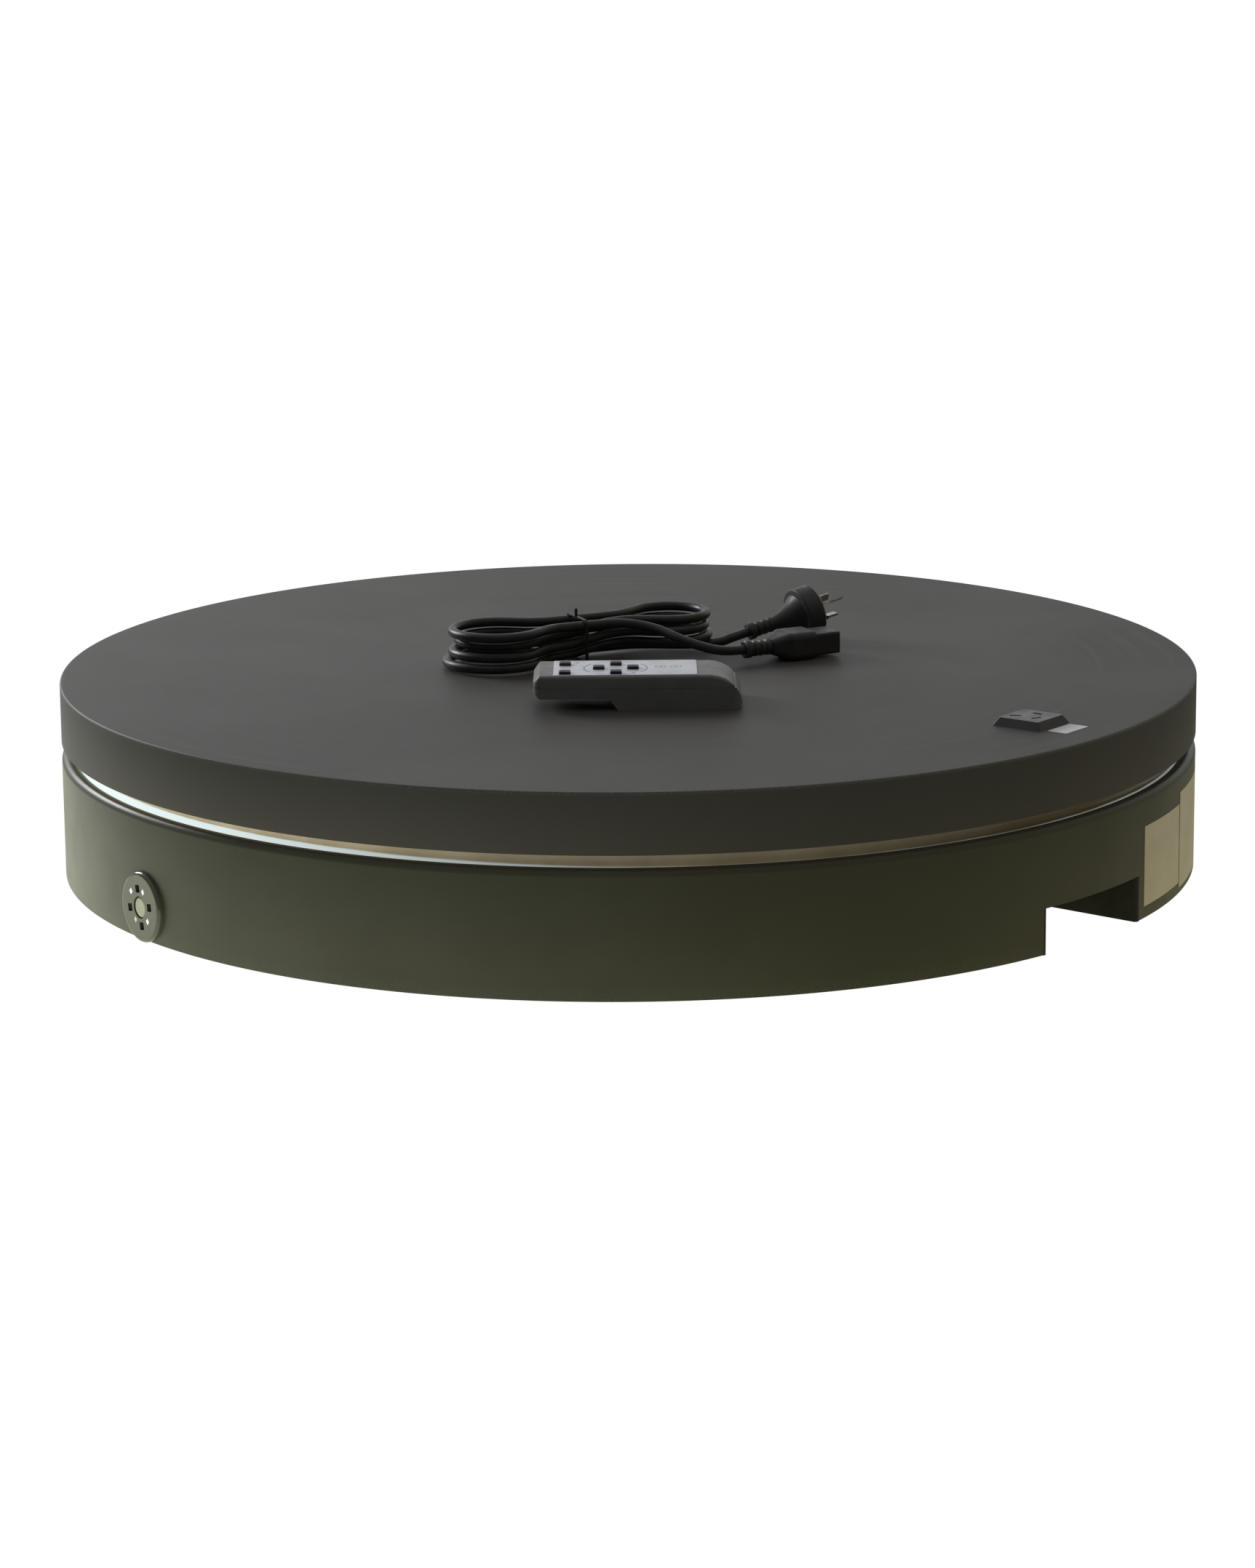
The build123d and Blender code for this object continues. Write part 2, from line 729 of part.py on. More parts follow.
def make_ring_gear():
    """Large spur gear bolted under the hub."""
    with BuildPart() as ring_gear:
        with BuildSketch(Plane.XY.offset(gear_bottom)):
            with BuildLine():
                Polyline(*gear_outline(ring_teeth, pinion_azimuth), close=True)
            make_face()
            Circle(hub_pilot_radius + running_clearance, mode=Mode.SUBTRACT)
            with PolarLocations(hub_bolt_circle, hub_bolt_count):
                Circle(hub_bolt_radius + screw_clearance, mode=Mode.SUBTRACT)
            with PolarLocations(lightening_circle, hub_bolt_count, start_angle=180 / hub_bolt_count):
                Circle(lightening_radius, mode=Mode.SUBTRACT)
        extrude(amount=gear_thickness)
    return ring_gear.part


def make_drive_pinion():
    """Pinion in one piece with its shaft."""
    middle = spot(pinion_azimuth, gear_distance)[:2]
    with BuildPart() as drive_pinion:
        with BuildSketch(Plane(origin=(*middle, gear_bottom - pinion_overhang))):
            with BuildLine():
                Polyline(*gear_outline(pinion_teeth, pinion_azimuth + 180 + 180 / pinion_teeth), close=True)
            make_face()
        extrude(amount=gear_thickness + 2 * pinion_overhang)
        with BuildSketch(Plane(origin=(*middle, deck_bottom - gearbox_height + 6.0))):
            Circle(pinion_shaft_radius)
        extrude(amount=gear_bottom + gear_thickness + 2.0 - deck_bottom + gearbox_height - 6.0)
    return drive_pinion.part


def make_gear_motor():
    """Gearbox under the deck, and the motor can below it."""
    middle = spot(pinion_azimuth, gear_distance)[:2]
    gearbox_bottom = deck_bottom - gearbox_height
    motor_bottom = plate_top + motor_floor_gap
    with BuildPart() as gearbox:
        with BuildSketch(Plane(origin=(*middle, gearbox_bottom))):
            Circle(gearbox_radius)
        extrude(amount=gearbox_height)
        with BuildSketch(Plane(origin=(*middle, deck_bottom))):
            Circle(gearbox_boss_radius)
        extrude(amount=gearbox_boss_height)
        with BuildSketch(Plane(origin=(*middle, gearbox_bottom + 5.0))):
            Circle(pinion_shaft_radius + running_clearance)
        extrude(amount=2 * gearbox_height, mode=Mode.SUBTRACT)
    with BuildPart() as motor:
        with BuildSketch(Plane(origin=(*middle, motor_bottom))):
            Circle(motor_radius)
        extrude(amount=gearbox_bottom - motor_bottom)
        rim = motor.edges().filter_by(GeomType.CIRCLE).sort_by(Axis.Z)[0]
        fillet(rim, 2.0)
    return Compound(children=[gearbox.part, motor.part])


# Rollers
def make_roller_wheel(azimuth):
    """Nylon wheel with a plain bore and two hub bosses that run between the bracket's cheeks."""
    plane = upright_plane(azimuth, roller_circle, axle_height)
    bore = roller_axle_radius + running_clearance
    tread = wheel_radius - running_clearance
    half = roller_width / 2
    hub = roller_hub_width / 2
    with BuildPart() as roller_wheel:
        with BuildSketch(plane):
            with BuildLine():
                Polyline(
                    (-hub, bore), (hub, bore), (hub, roller_hub_radius), (half, roller_hub_radius), (half, tread - 1.0),
                    (half - 1.0, tread), (1.0 - half, tread), (-half, tread - 1.0), (-half, roller_hub_radius),
                    (-hub, roller_hub_radius), close=True,
                )
            make_face()
        revolve(axis=Axis(plane.origin, plane.x_dir))
    return roller_wheel.part


def make_roller_brackets():
    """Folded brackets that hold the axles over the deck."""
    half = bracket_inner_width / 2
    stand = axle_height - deck_top
    with BuildPart() as roller_brackets:
        for i in range(roller_count):
            azimuth = roller_first_azimuth + 360 / roller_count * i
            with BuildSketch(radial_plane(azimuth, deck_top)):
                with Locations((roller_circle, 0)):
                    RectangleRounded(bracket_inner_width + 2 * bracket_sheet, 2 * bracket_half_length, 3.0)
                    with Locations((0, bracket_screw_offset), (0, -bracket_screw_offset)):
                        Circle(screw_radius + screw_clearance, mode=Mode.SUBTRACT)
            extrude(amount=bracket_sheet)
            for inner in (-half - bracket_sheet, half):
                with BuildSketch(outward_plane(azimuth, roller_circle + inner, axle_height)):
                    Circle(bracket_cheek_radius)
                    with Locations((0, -stand / 2)):
                        Rectangle(2 * bracket_cheek_radius, stand)
                    Circle(roller_axle_radius + press_clearance, mode=Mode.SUBTRACT)
                extrude(amount=bracket_sheet)
    return roller_brackets.part


def make_roller_axles():
    """Plain axles, each with a head on its inner end and a groove for a clip on the outer one."""
    reach = bracket_inner_width / 2 + bracket_sheet
    with BuildPart() as roller_axles:
        for i in range(roller_count):
            plane = upright_plane(roller_first_azimuth + 360 / roller_count * i, roller_circle, axle_height)
            with BuildSketch(plane):
                with BuildLine():
                    Polyline(
                        (-reach - 2.0, 0), (reach + 3.0, 0), (reach + 3.0, roller_axle_radius - 0.5),
                        (reach + 2.5, roller_axle_radius), (-reach, roller_axle_radius), (-reach, roller_axle_radius + 2.0),
                        (-reach - 2.0, roller_axle_radius + 2.0), close=True,
                    )
                make_face()
            revolve(axis=Axis(plane.origin, plane.x_dir))
    return roller_axles.part


# Electrics inside the base
def make_power_supply():
    """Enclosed power supply with a lower terminal strip at one end and vent slots on top."""
    length, width, height = supply_size
    with BuildPart() as power_supply:
        with BuildSketch(Plane.XY.offset(plate_top)):
            with Locations((supply_x, 0)):
                Rectangle(length, width)
        extrude(amount=height)
        with BuildSketch(Plane.XY.offset(plate_top + height / 2)):
            with Locations((supply_x + length / 2, 0)):
                Rectangle(2 * supply_terminal, width - 2 * sheet)
        extrude(amount=height, mode=Mode.SUBTRACT)
        with BuildSketch(Plane.XY.offset(plate_top + height)):
            with Locations((supply_x - supply_terminal, 0)):
                with GridLocations(10.0, 34.0, 8, 2):
                    SlotOverall(24.0, 3.0, rotation=90)
        extrude(amount=-1.6, mode=Mode.SUBTRACT)
        with BuildSketch(Plane.XY.offset(plate_top + height / 2)):
            with Locations((supply_x + length / 2 - supply_terminal / 2, 0)):
                with GridLocations(1.0, 10.0, 1, 7):
                    Circle(3.0)
        extrude(amount=2.0)
    return power_supply.part


def make_control_board():
    """Motor control board on four stand-offs, with its larger components."""
    length, width, thickness = board_size
    underside = plate_top + board_standoff
    face = underside + thickness
    with BuildPart() as control_board:
        with BuildSketch(Plane.XY.offset(underside)):
            with Locations((0, board_y)):
                Rectangle(length, width)
        extrude(amount=thickness)
        with BuildSketch(Plane.XY.offset(plate_top)):
            with Locations((0, board_y)):
                with GridLocations(length - 12.0, width - 12.0, 2, 2):
                    RegularPolygon(3.5, 6)
        extrude(amount=board_standoff)
        with BuildSketch(Plane.XY.offset(face)):
            with Locations((-36.0, board_y + 18.0)):
                Rectangle(22.0, 18.0)
            with Locations((0, board_y + 16.0)):
                Circle(9.0)
            with Locations((24.0, board_y + 16.0)):
                Circle(7.0)
        extrude(amount=17.0)
        with BuildSketch(Plane.XY.offset(face)):
            with Locations((6.0, board_y - 14.0)):
                for fin in range(5):
                    with Locations((0, 4.0 * fin - 8.0)):
                        Rectangle(34.0, 1.4)
                Rectangle(34.0, 3.0)
                Rectangle(2.0, 17.0)
        extrude(amount=20.0)
        with BuildSketch(Plane.XY.offset(face)):
            with Locations((length / 2 - 5.0, board_y), (5.0 - length / 2, board_y)):
                Rectangle(10.0, 50.0)
        extrude(amount=9.0)
    return control_board.part


def wire_tube(points, radius, bend):
    """Round tube along straight runs joined by arcs."""
    with BuildPart() as tube:
        with BuildLine():
            FilletPolyline(*points, radius=bend)
        start = Vector(*points[0])
        with BuildSketch(Plane(origin=start, z_dir=Vector(*points[1]) - start)):
            Circle(radius)
        sweep()
    return tube.part


def make_wiring_harness():
    """Five clipped leads between the inlet, the supply, the boards, the motor and the slip ring."""
    low = plate_top + 3.0
    mid = plate_top + 11.0
    supply_front = supply_size[1] / 2 + 0.1
    supply_end = supply_x + supply_size[0] / 2 + 0.1
    board_side = board_size[0] / 2 + 0.1
    board_face = plate_top + board_standoff + 5.0
    motor_y = gear_distance
    inlet_rear = spot(notch_azimuth, notch_back - inlet_case[2] - 8.5, inlet_height)
    inlet_out = spot(notch_azimuth, notch_back - inlet_case[2] - 30.0, inlet_height)
    sensor_rear = spot(sensor_azimuth, disc_radius - barrel_depth - sensor_board_thickness - 0.1, sensor_height)
    sensor_out = spot(sensor_azimuth, disc_radius - barrel_depth - 26.0, sensor_height)
    slip_bottom = stator_top - slip_flange_thickness - slip_body_length - 0.1
    routes = (
        (inlet_rear, inlet_out, (160.0, -172.0, low), (100.0, -200.0, low), (80.0, -204.0, board_face),
         (board_side, -204.0, board_face)),
        ((-board_side, -190.0, board_face), (-82.0, -190.0, board_face), (-104.0, -172.0, low), (-140.0, -110.0, low),
         (-148.0, -76.0, mid), (-148.0, -supply_front, mid)),
        ((-150.0, supply_front, mid), (-150.0, 74.0, mid), (-118.0, 108.0, low), (-60.0, motor_y, low),
         (-44.0, motor_y, mid + 3.0), (-motor_radius - 0.1, motor_y, mid + 3.0)),
        ((-board_side, -215.0, board_face), (-84.0, -215.0, board_face), (-120.0, -236.0, low), (-220.0, -216.0, low),
         (-262.0, -196.0, low + 4.0), sensor_out, sensor_rear),
        ((supply_end, 12.0, mid + 3.0), (-98.0, 12.0, mid + 3.0), (-76.0, 0.0, mid + 3.0), (-12.0, 0.0, mid + 3.0),
         (0.0, 0.0, mid + 9.0), (0.0, 0.0, slip_bottom)),
    )
    return Compound(children=[wire_tube(route, 2.4, 4.0) for route in routes])


def make_base_labels():
    """Two plain paper labels stuck to the skirt beside the recess."""
    children = []
    for start, end, low, high in base_label_extents:
        with BuildPart() as label:
            with BuildSketch(upright_plane(start, disc_radius + 0.05, low)):
                Rectangle(paper, high - low, align=(Align.MIN, Align.MIN))
            revolve(axis=Axis.Z, revolution_arc=end - start)
        children.append(label.part)
    return Compound(children=children)


# Platter
def make_platter_cover():
    """Top sheet and rim in one piece, cut for the outlet."""
    with BuildPart() as platter_cover:
        with BuildSketch(Plane.XZ):
            with BuildLine():
                Polyline(
                    (0, total_height), (disc_radius, total_height), (disc_radius, platter_bottom),
                    (skirt_inner, platter_bottom), (skirt_inner, core_top), (0, core_top), close=True,
                )
            make_face()
        revolve(axis=Axis.Z)
        rim = platter_cover.edges().filter_by(GeomType.CIRCLE).group_by(Axis.Z)[-1]
        fillet(rim, cover_edge_radius)
        with BuildSketch(outlet_plane(core_top)):
            Rectangle(outlet_body_side + outlet_clearance, outlet_body_side + outlet_clearance)
        extrude(amount=cover_thickness, mode=Mode.SUBTRACT)
    return platter_cover.part


def outlet_plane(height):
    """Level plane at the outlet's centre, with x outwards."""
    return Plane(origin=(*outlet_centre, height), x_dir=spot(outlet_azimuth, 1.0), z_dir=(0, 0, 1))


def make_platter_core():
    """Board that stiffens the platter, with a groove for the cable and a hole for the outlet."""
    groove_end = hypot(*outlet_centre) - outlet_body_side / 4
    with BuildPart() as platter_core:
        with BuildSketch(Plane.XY.offset(core_bottom)):
            Circle(skirt_inner - core_clearance)
            with PolarLocations(hub_bolt_circle, hub_bolt_count):
                Circle(hub_bolt_radius, mode=Mode.SUBTRACT)
        extrude(amount=core_thickness)
        with BuildSketch(outlet_plane(core_bottom)):
            Rectangle(outlet_body_side + outlet_clearance, outlet_body_side + outlet_clearance)
        extrude(amount=core_thickness, mode=Mode.SUBTRACT)
        with BuildSketch(radial_plane(outlet_azimuth, core_bottom)):
            with Locations((groove_end / 2, 0)):
                Rectangle(groove_end, wire_groove_width)
            Circle(hub_bore_radius)
        extrude(amount=wire_groove_depth, mode=Mode.SUBTRACT)
    return platter_core.part


def make_roller_track():
    """Steel ring under the core that runs on the rollers."""
    with BuildPart() as roller_track:
        with BuildSketch(Plane.XY.offset(track_bottom)):
            Circle(roller_circle + track_half_width)
            Circle(roller_circle - track_half_width, mode=Mode.SUBTRACT)
        extrude(amount=track_thickness)
    return roller_track.part


def make_platter_hub():
    """Turned hub: a spigot in the bearing, a pilot for the gear and a flange under the core."""
    spigot = bearing_inner_radius - press_clearance
    collar = bearing_inner_radius + hub_shoulder
    with BuildPart() as platter_hub:
        with BuildSketch(Plane.XZ):
            with BuildLine():
                Polyline(
                    (hub_bore_radius, bearing_bottom - 1.0), (spigot, bearing_bottom - 1.0), (spigot, bearing_top),
                    (collar, bearing_top), (collar, gear_bottom), (hub_pilot_radius, gear_bottom),
                    (hub_pilot_radius, hub_flange_bottom), (hub_flange_radius, hub_flange_bottom),
                    (hub_flange_radius, core_bottom), (hub_bore_radius, core_bottom), close=True,
                )
            make_face()
        revolve(axis=Axis.Z)
        with BuildSketch(Plane.XY.offset(hub_flange_bottom)):
            with PolarLocations(hub_bolt_circle, hub_bolt_count):
                Circle(hub_bolt_radius + screw_clearance)
        extrude(amount=hub_flange_thickness, mode=Mode.SUBTRACT)
    return platter_hub.part


def make_hub_bolts():
    """Hexagon bolts through the gear and the hub into the core."""
    with BuildPart() as hub_bolts:
        with BuildSketch(Plane.XY.offset(gear_bottom)):
            with PolarLocations(hub_bolt_circle, hub_bolt_count):
                RegularPolygon(hub_bolt_head, 6)
        extrude(amount=-hub_bolt_head_height)
        with BuildSketch(Plane.XY.offset(gear_bottom)):
            with PolarLocations(hub_bolt_circle, hub_bolt_count):
                Circle(hub_bolt_radius - press_clearance)
        extrude(amount=gear_thickness + hub_flange_thickness + hub_bolt_depth)
    return hub_bolts.part


def turned_places(turn):
    """Places and directions of the three flat pins of a plug or outlet, turned about their centre."""
    c, s = cos(radians(turn)), sin(radians(turn))
    return [(x * c - y * s, x * s + y * c, angle + turn) for x, y, angle in pin_places]


def make_outlet_body():
    """Panel outlet: a bevelled plate on the platter, a body through it and three flat slots."""
    with BuildPart() as outlet_body:
        with BuildSketch(outlet_plane(total_height)):
            RectangleRounded(outlet_side, outlet_side, 1.5)
        with BuildSketch(outlet_plane(total_height + outlet_proud)):
            RectangleRounded(outlet_top_side, outlet_top_side, 1.5)
        loft()
        with BuildSketch(outlet_plane(total_height)):
            Rectangle(outlet_body_side, outlet_body_side)
        extrude(amount=-outlet_body_depth)
        for x, y, angle in turned_places(outlet_pin_turn + 90):
            with BuildSketch(outlet_plane(total_height + outlet_proud)):
                with Locations(Location((x, y), angle)):
                    Rectangle(*outlet_slot)
            extrude(amount=-outlet_slot_depth, mode=Mode.SUBTRACT)
            with BuildSketch(outlet_plane(total_height - outlet_body_depth)):
                with Locations(Location((x, y), angle)):
                    Rectangle(outlet_contact[0] + 2 * contact_clearance, outlet_contact[1] + 2 * contact_clearance)
            extrude(amount=outlet_body_depth + outlet_proud - outlet_slot_depth, mode=Mode.SUBTRACT)
    return outlet_body.part


def make_outlet_contacts():
    """Three brass clips in the pockets behind the slots."""
    with BuildPart() as outlet_contacts:
        for x, y, angle in turned_places(outlet_pin_turn + 90):
            with BuildSketch(outlet_plane(total_height - outlet_body_depth + contact_clearance)):
                with Locations(Location((x, y), angle)):
                    Rectangle(outlet_contact[0], outlet_contact[1])
            extrude(amount=outlet_contact[2])
            with BuildSketch(outlet_plane(total_height - outlet_body_depth + 2.0)):
                with Locations(Location((x, y), angle)):
                    Rectangle(outlet_contact[0] - 1.6, 1.8)
            extrude(amount=outlet_contact[2], mode=Mode.SUBTRACT)
    return outlet_contacts.part


def make_platter_wires():
    """Cable from the slip ring's shaft along the groove to the outlet."""
    run_height = core_bottom + wire_groove_depth - 4.0
    end = hypot(*outlet_centre) - outlet_body_side / 2 - 0.6
    route = ((0, 0, core_bottom + 1.05), (0, 0, run_height), spot(outlet_azimuth, end, run_height))
    return wire_tube(route, 2.6, 6.5)


def make_socket_label():
    """Plain white label beside the outlet."""
    with BuildPart() as socket_label:
        with BuildSketch(radial_plane(socket_label_azimuth, total_height)):
            with Locations((socket_label_centre_radius, 0)):
                RectangleRounded(*socket_label_size, 1.0)
        extrude(amount=paper)
    return socket_label.part


# Remote control
def remote_plane(height):
    """Level plane on the remote's centre line at its left end."""
    return Plane(origin=(remote_left, remote_centre_y, total_height + height))


def remote_envelope(inset):
    """Outer form of the remote, drawn in by an inset: a thin front and a thick battery end that slopes off."""
    side = Plane(origin=(remote_left, remote_centre_y, total_height), x_dir=(1, 0, 0), z_dir=(0, -1, 0))
    with BuildPart() as envelope:
        with BuildSketch(side):
            with BuildLine():
                Polyline(
                    (118.0, remote_height), (4.0, remote_height), (0.0, remote_height - 5.0),
                    (0.0, remote_thin_under + 4.0), (4.0, remote_thin_under), (remote_step, remote_thin_under),
                    (remote_step + 6.0, 0.0), (remote_length - 3.0, 0.0), (remote_length, 3.0),
                )
                ThreePointArc((remote_length, 3.0), (136.0, 17.0), (118.0, remote_height))
            make_face()
            if inset > 0:
                offset(amount=-inset, kind=Kind.INTERSECTION)
        extrude(amount=remote_width / 2 - inset, both=True)
        with BuildSketch(remote_plane(-1.0)):
            with Locations((remote_length / 2, 0)):
                RectangleRounded(remote_length - 2 * inset, remote_width - 2 * inset, remote_corner - inset)
        extrude(amount=remote_height + 2.0, mode=Mode.INTERSECT)
    return envelope.part


def button_spots(side):
    """Squares at the six button places, in the sketch that is open."""
    with Locations(*button_places):
        Rectangle(side, side)


def make_remote_upper_case():
    """Upper shell, with the faceplate's recess, six button holes and the hole for the emitter."""
    with BuildPart() as remote_upper_case:
        add(remote_envelope(0.0))
        add(remote_envelope(remote_wall), mode=Mode.SUBTRACT)
        split(bisect_by=remote_plane(remote_split), keep=Keep.TOP)
        with BuildSketch(remote_plane(remote_height - faceplate_thickness)):
            with Locations((faceplate_start + faceplate_length / 2, 0)):
                Rectangle(faceplate_length, faceplate_width)
        extrude(amount=faceplate_thickness, mode=Mode.SUBTRACT)
        with BuildSketch(remote_plane(remote_split)):
            button_spots(button_side + 2 * button_clearance)
        extrude(amount=remote_height, mode=Mode.SUBTRACT)
        with BuildSketch(Plane(origin=(remote_left - 1, remote_centre_y, total_height + 18.0), z_dir=(1, 0, 0))):
            Circle(remote_led_radius + button_clearance)
        extrude(amount=remote_wall + remote_board_start, mode=Mode.SUBTRACT)
    return remote_upper_case.part


def make_remote_lower_case():
    """Lower shell, with posts for the board and an open floor for the battery door."""
    post_x = (remote_board_start + 8.0, remote_board_start + remote_board_size[0] - 4.0)
    post_y = remote_board_size[1] / 2 + 0.6
    with BuildPart() as remote_lower_case:
        add(remote_envelope(0.0))
        add(remote_envelope(remote_wall), mode=Mode.SUBTRACT)
        split(bisect_by=remote_plane(remote_split), keep=Keep.BOTTOM)
        for place, floor in zip(post_x, (remote_thin_under, 0.0)):
            with BuildSketch(remote_plane(floor + remote_wall / 2)):
                with Locations((place, post_y), (place, -post_y)):
                    Circle(2.0)
            extrude(amount=remote_board_height - floor - remote_wall / 2)
        with BuildSketch(remote_plane(-1.0)):
            with Locations((door_start - door_clearance, 0)):
                Rectangle(remote_length, 2 * (door_half_width + door_clearance), align=(Align.MIN, Align.CENTER))
        extrude(amount=1.0 + door_lift + door_thickness + door_clearance, mode=Mode.SUBTRACT)
    return remote_lower_case.part


def make_remote_faceplate():
    """Thin printed plate on top, with holes for the buttons."""
    with BuildPart() as remote_faceplate:
        with BuildSketch(remote_plane(remote_height - faceplate_thickness)):
            with Locations((faceplate_start + faceplate_length / 2, 0)):
                Rectangle(faceplate_length - 2 * button_clearance, faceplate_width - 2 * button_clearance)
        extrude(amount=faceplate_thickness)
        with BuildSketch(remote_plane(0)):
            button_spots(button_side + 2 * button_clearance)
        extrude(amount=2 * remote_height, mode=Mode.SUBTRACT)
    return remote_faceplate.part


def make_remote_board():
    """Circuit board with a dome under each button, and the emitter at the front end."""
    length, width, thickness = remote_board_size
    with BuildPart() as remote_board:
        with BuildSketch(remote_plane(remote_board_height)):
            with Locations((remote_board_start + length / 2, 0)):
                Rectangle(length, width)
        extrude(amount=thickness)
        with BuildSketch(remote_plane(remote_board_height + thickness)):
            with Locations(*button_places):
                Circle(3.0)
        extrude(amount=0.8)
        with BuildSketch(remote_plane(remote_board_height + thickness)):
            with Locations((remote_board_start + 4.0, 0)):
                Rectangle(6.0, 2 * remote_led_radius)
        extrude(amount=18.0 - remote_board_height - thickness + remote_led_radius)
        with BuildSketch(remote_plane(remote_board_height)):
            with Locations((battery_start - 0.3 - terminal_thickness / 2, 0)):
                Rectangle(terminal_thickness, 2 * (battery_offset + battery_radius))
        extrude(amount=-remote_board_height + door_lift + door_thickness + 0.6)
    with BuildPart() as emitter:
        with BuildSketch(Plane(origin=(remote_left + remote_board_start + 1, remote_centre_y, total_height + 18.0),
                               z_dir=(-1, 0, 0))):
            Circle(remote_led_radius)
        extrude(amount=remote_board_start)
    return Compound(children=[remote_board.part, emitter.part])


def make_remote_button(place):
    """Square button with a flange that stops it under the upper shell."""
    shoulder = remote_height - faceplate_thickness - (remote_wall - faceplate_thickness) - button_stop_gap
    with BuildPart() as remote_button:
        with BuildSketch(remote_plane(remote_height + button_proud)):
            with Locations(place):
                Rectangle(button_side, button_side)
        extrude(amount=-button_depth - button_proud)
        with BuildSketch(remote_plane(shoulder)):
            with Locations(place):
                Rectangle(button_flange_side, button_flange_side)
        extrude(amount=-button_flange)
        top = remote_button.faces().sort_by(Axis.Z)[-1]
        fillet(top.edges(), 0.5)
    return remote_button.part


def make_remote_battery_door():
    """Sliding door in the floor of the battery end, with grip ridges cut into it."""
    with BuildPart() as remote_battery_door:
        with BuildSketch(remote_plane(door_lift)):
            with Locations((door_start, 0)):
                Rectangle(door_end - door_start, 2 * door_half_width, align=(Align.MIN, Align.CENTER))
        extrude(amount=door_thickness)
        with BuildSketch(remote_plane(door_lift)):
            with Locations((door_end - 24.0, 0)):
                with GridLocations(3.0, 1.0, 5, 1):
                    Rectangle(1.2, door_half_width)
        extrude(amount=door_thickness / 3, mode=Mode.SUBTRACT)
    return remote_battery_door.part


def make_remote_batteries():
    """Two small round cells side by side above the door."""
    height = total_height + door_lift + door_thickness + 0.2 + battery_radius
    with BuildPart() as remote_batteries:
        for side in (-1, 1):
            end = Plane(origin=(remote_left + battery_start, remote_centre_y + side * battery_offset, height),
                        z_dir=(1, 0, 0))
            with BuildSketch(end):
                Circle(battery_radius)
            extrude(amount=battery_length - 1.0)
            with BuildSketch(end):
                Circle(battery_radius / 3)
            extrude(amount=battery_length)
    return remote_batteries.part


# Power lead
def hank_point(x, y, z):
    """Point of the hank, whose own x runs along it from the tie and whose z starts at the platter's top."""
    c, s = cos(radians(hank_turn)), sin(radians(hank_turn))
    return (tie_place[0] + x * c - y * s, tie_place[1] + x * s + y * c, total_height + z)


def layer_height(layer):
    """Height of the cord's centre in a layer, over the platter's top."""
    return hank_lift + cord_radius + layer_step * layer


def toward(centre, first, second, radius):
    """Point on a circle half way between two of its points."""
    u = (first[0] + second[0] - 2 * centre[0], first[1] + second[1] - 2 * centre[1])
    size = hypot(*u)
    return (centre[0] + radius * u[0] / size, centre[1] + radius * u[1] / size)


def loop_arcs(side, radius, end, first, second, height):
    """Half turn of the hank at one side: out of the waist, round the end and back, as (start, middle, end) arcs."""
    middle = (first + second) / 2
    apart = abs(first - second) / 2
    reach = end - waist_half - radius
    swing = (reach ** 2 + apart ** 2 - radius ** 2) / (2 * (radius - apart))
    centre = (side * (waist_half + reach), middle)
    far = (centre[0] + side * radius, middle)
    arcs = []
    for waist in (first, second):
        way = 1 if waist > middle else -1
        pivot = (side * waist_half, waist + way * swing)
        share = radius / (radius + swing)
        touch = (centre[0] + (pivot[0] - centre[0]) * share, centre[1] + (pivot[1] - centre[1]) * share)
        start = (side * waist_half, waist)
        arcs.append((start, toward(pivot, start, touch, swing), touch))
        arcs.append((touch, toward(centre, touch, far, radius), far))
    there = arcs[:2]
    back = [(c, b, a) for a, b, c in reversed(arcs[2:])]
    return [tuple(hank_point(*p, height) for p in arc) for arc in there + back]


def climb_arcs(y, low, high):
    """Run through the waist from one layer up to the next: two arcs in an upright plane."""
    rise = high - low
    bend = (waist_half ** 2 + rise ** 2 / 4) / rise
    half = atan(rise / 2 / waist_half)
    step = (bend * sin(half), bend * (1 - cos(half)))
    middle = hank_point(0, y, (low + high) / 2)
    return [
        (hank_point(-waist_half, y, low), hank_point(step[0] - waist_half, y, low + step[1]), middle),
        (middle, hank_point(waist_half - step[0], y, high - step[1]), hank_point(waist_half, y, high)),
    ]


def hank_stretches():
    """The hank's path in order: straight runs are point pairs and arcs are (start, middle, end)."""
    path = [(hank_point(waist_half + cord_diameter, waist_back, layer_height(0)),
             hank_point(-waist_half, waist_back, layer_height(0)))]
    layers = len(left_radii)
    for layer in range(layers):
        height = layer_height(layer)
        front = waist_front[layer]
        path += loop_arcs(-1, left_radii[layer], left_ends[layer], waist_back, front, height)
        if layer < layers - 1:
            above = layer_height(layer + 1)
            path += climb_arcs(front, height, above)
            path += loop_arcs(1, right_radii[layer], right_ends[layer], front, waist_back, above)
            path.append((hank_point(waist_half, waist_back, above), hank_point(-waist_half, waist_back, above)))
        else:
            path.append((hank_point(-waist_half, front, height), hank_point(hank_exit_x, front, height)))
    return path


def path_edges(path):
    """Edges of a path of straight runs and arcs."""
    return [Line(*stretch) if len(stretch) == 2 else ThreePointArc(*stretch) for stretch in path]


def check_hank(edges):
    """Print the hank's length and the least gap of the cord to itself, measured on points."""
    points = []
    travelled = 0.0
    for edge in edges:
        steps = max(2, ceil(edge.length / 2.0))
        points += [(travelled + edge.length * i / steps, edge.position_at(i / steps)) for i in range(steps)]
        travelled += edge.length
    near = min((a - b).length for i, (s, a) in enumerate(points) for t, b in points[i + 1:] if t - s > 6 * cord_radius)
    print(f"hank: {travelled:.0f} mm of cord, least gap to itself {near - cord_diameter:.2f} mm")


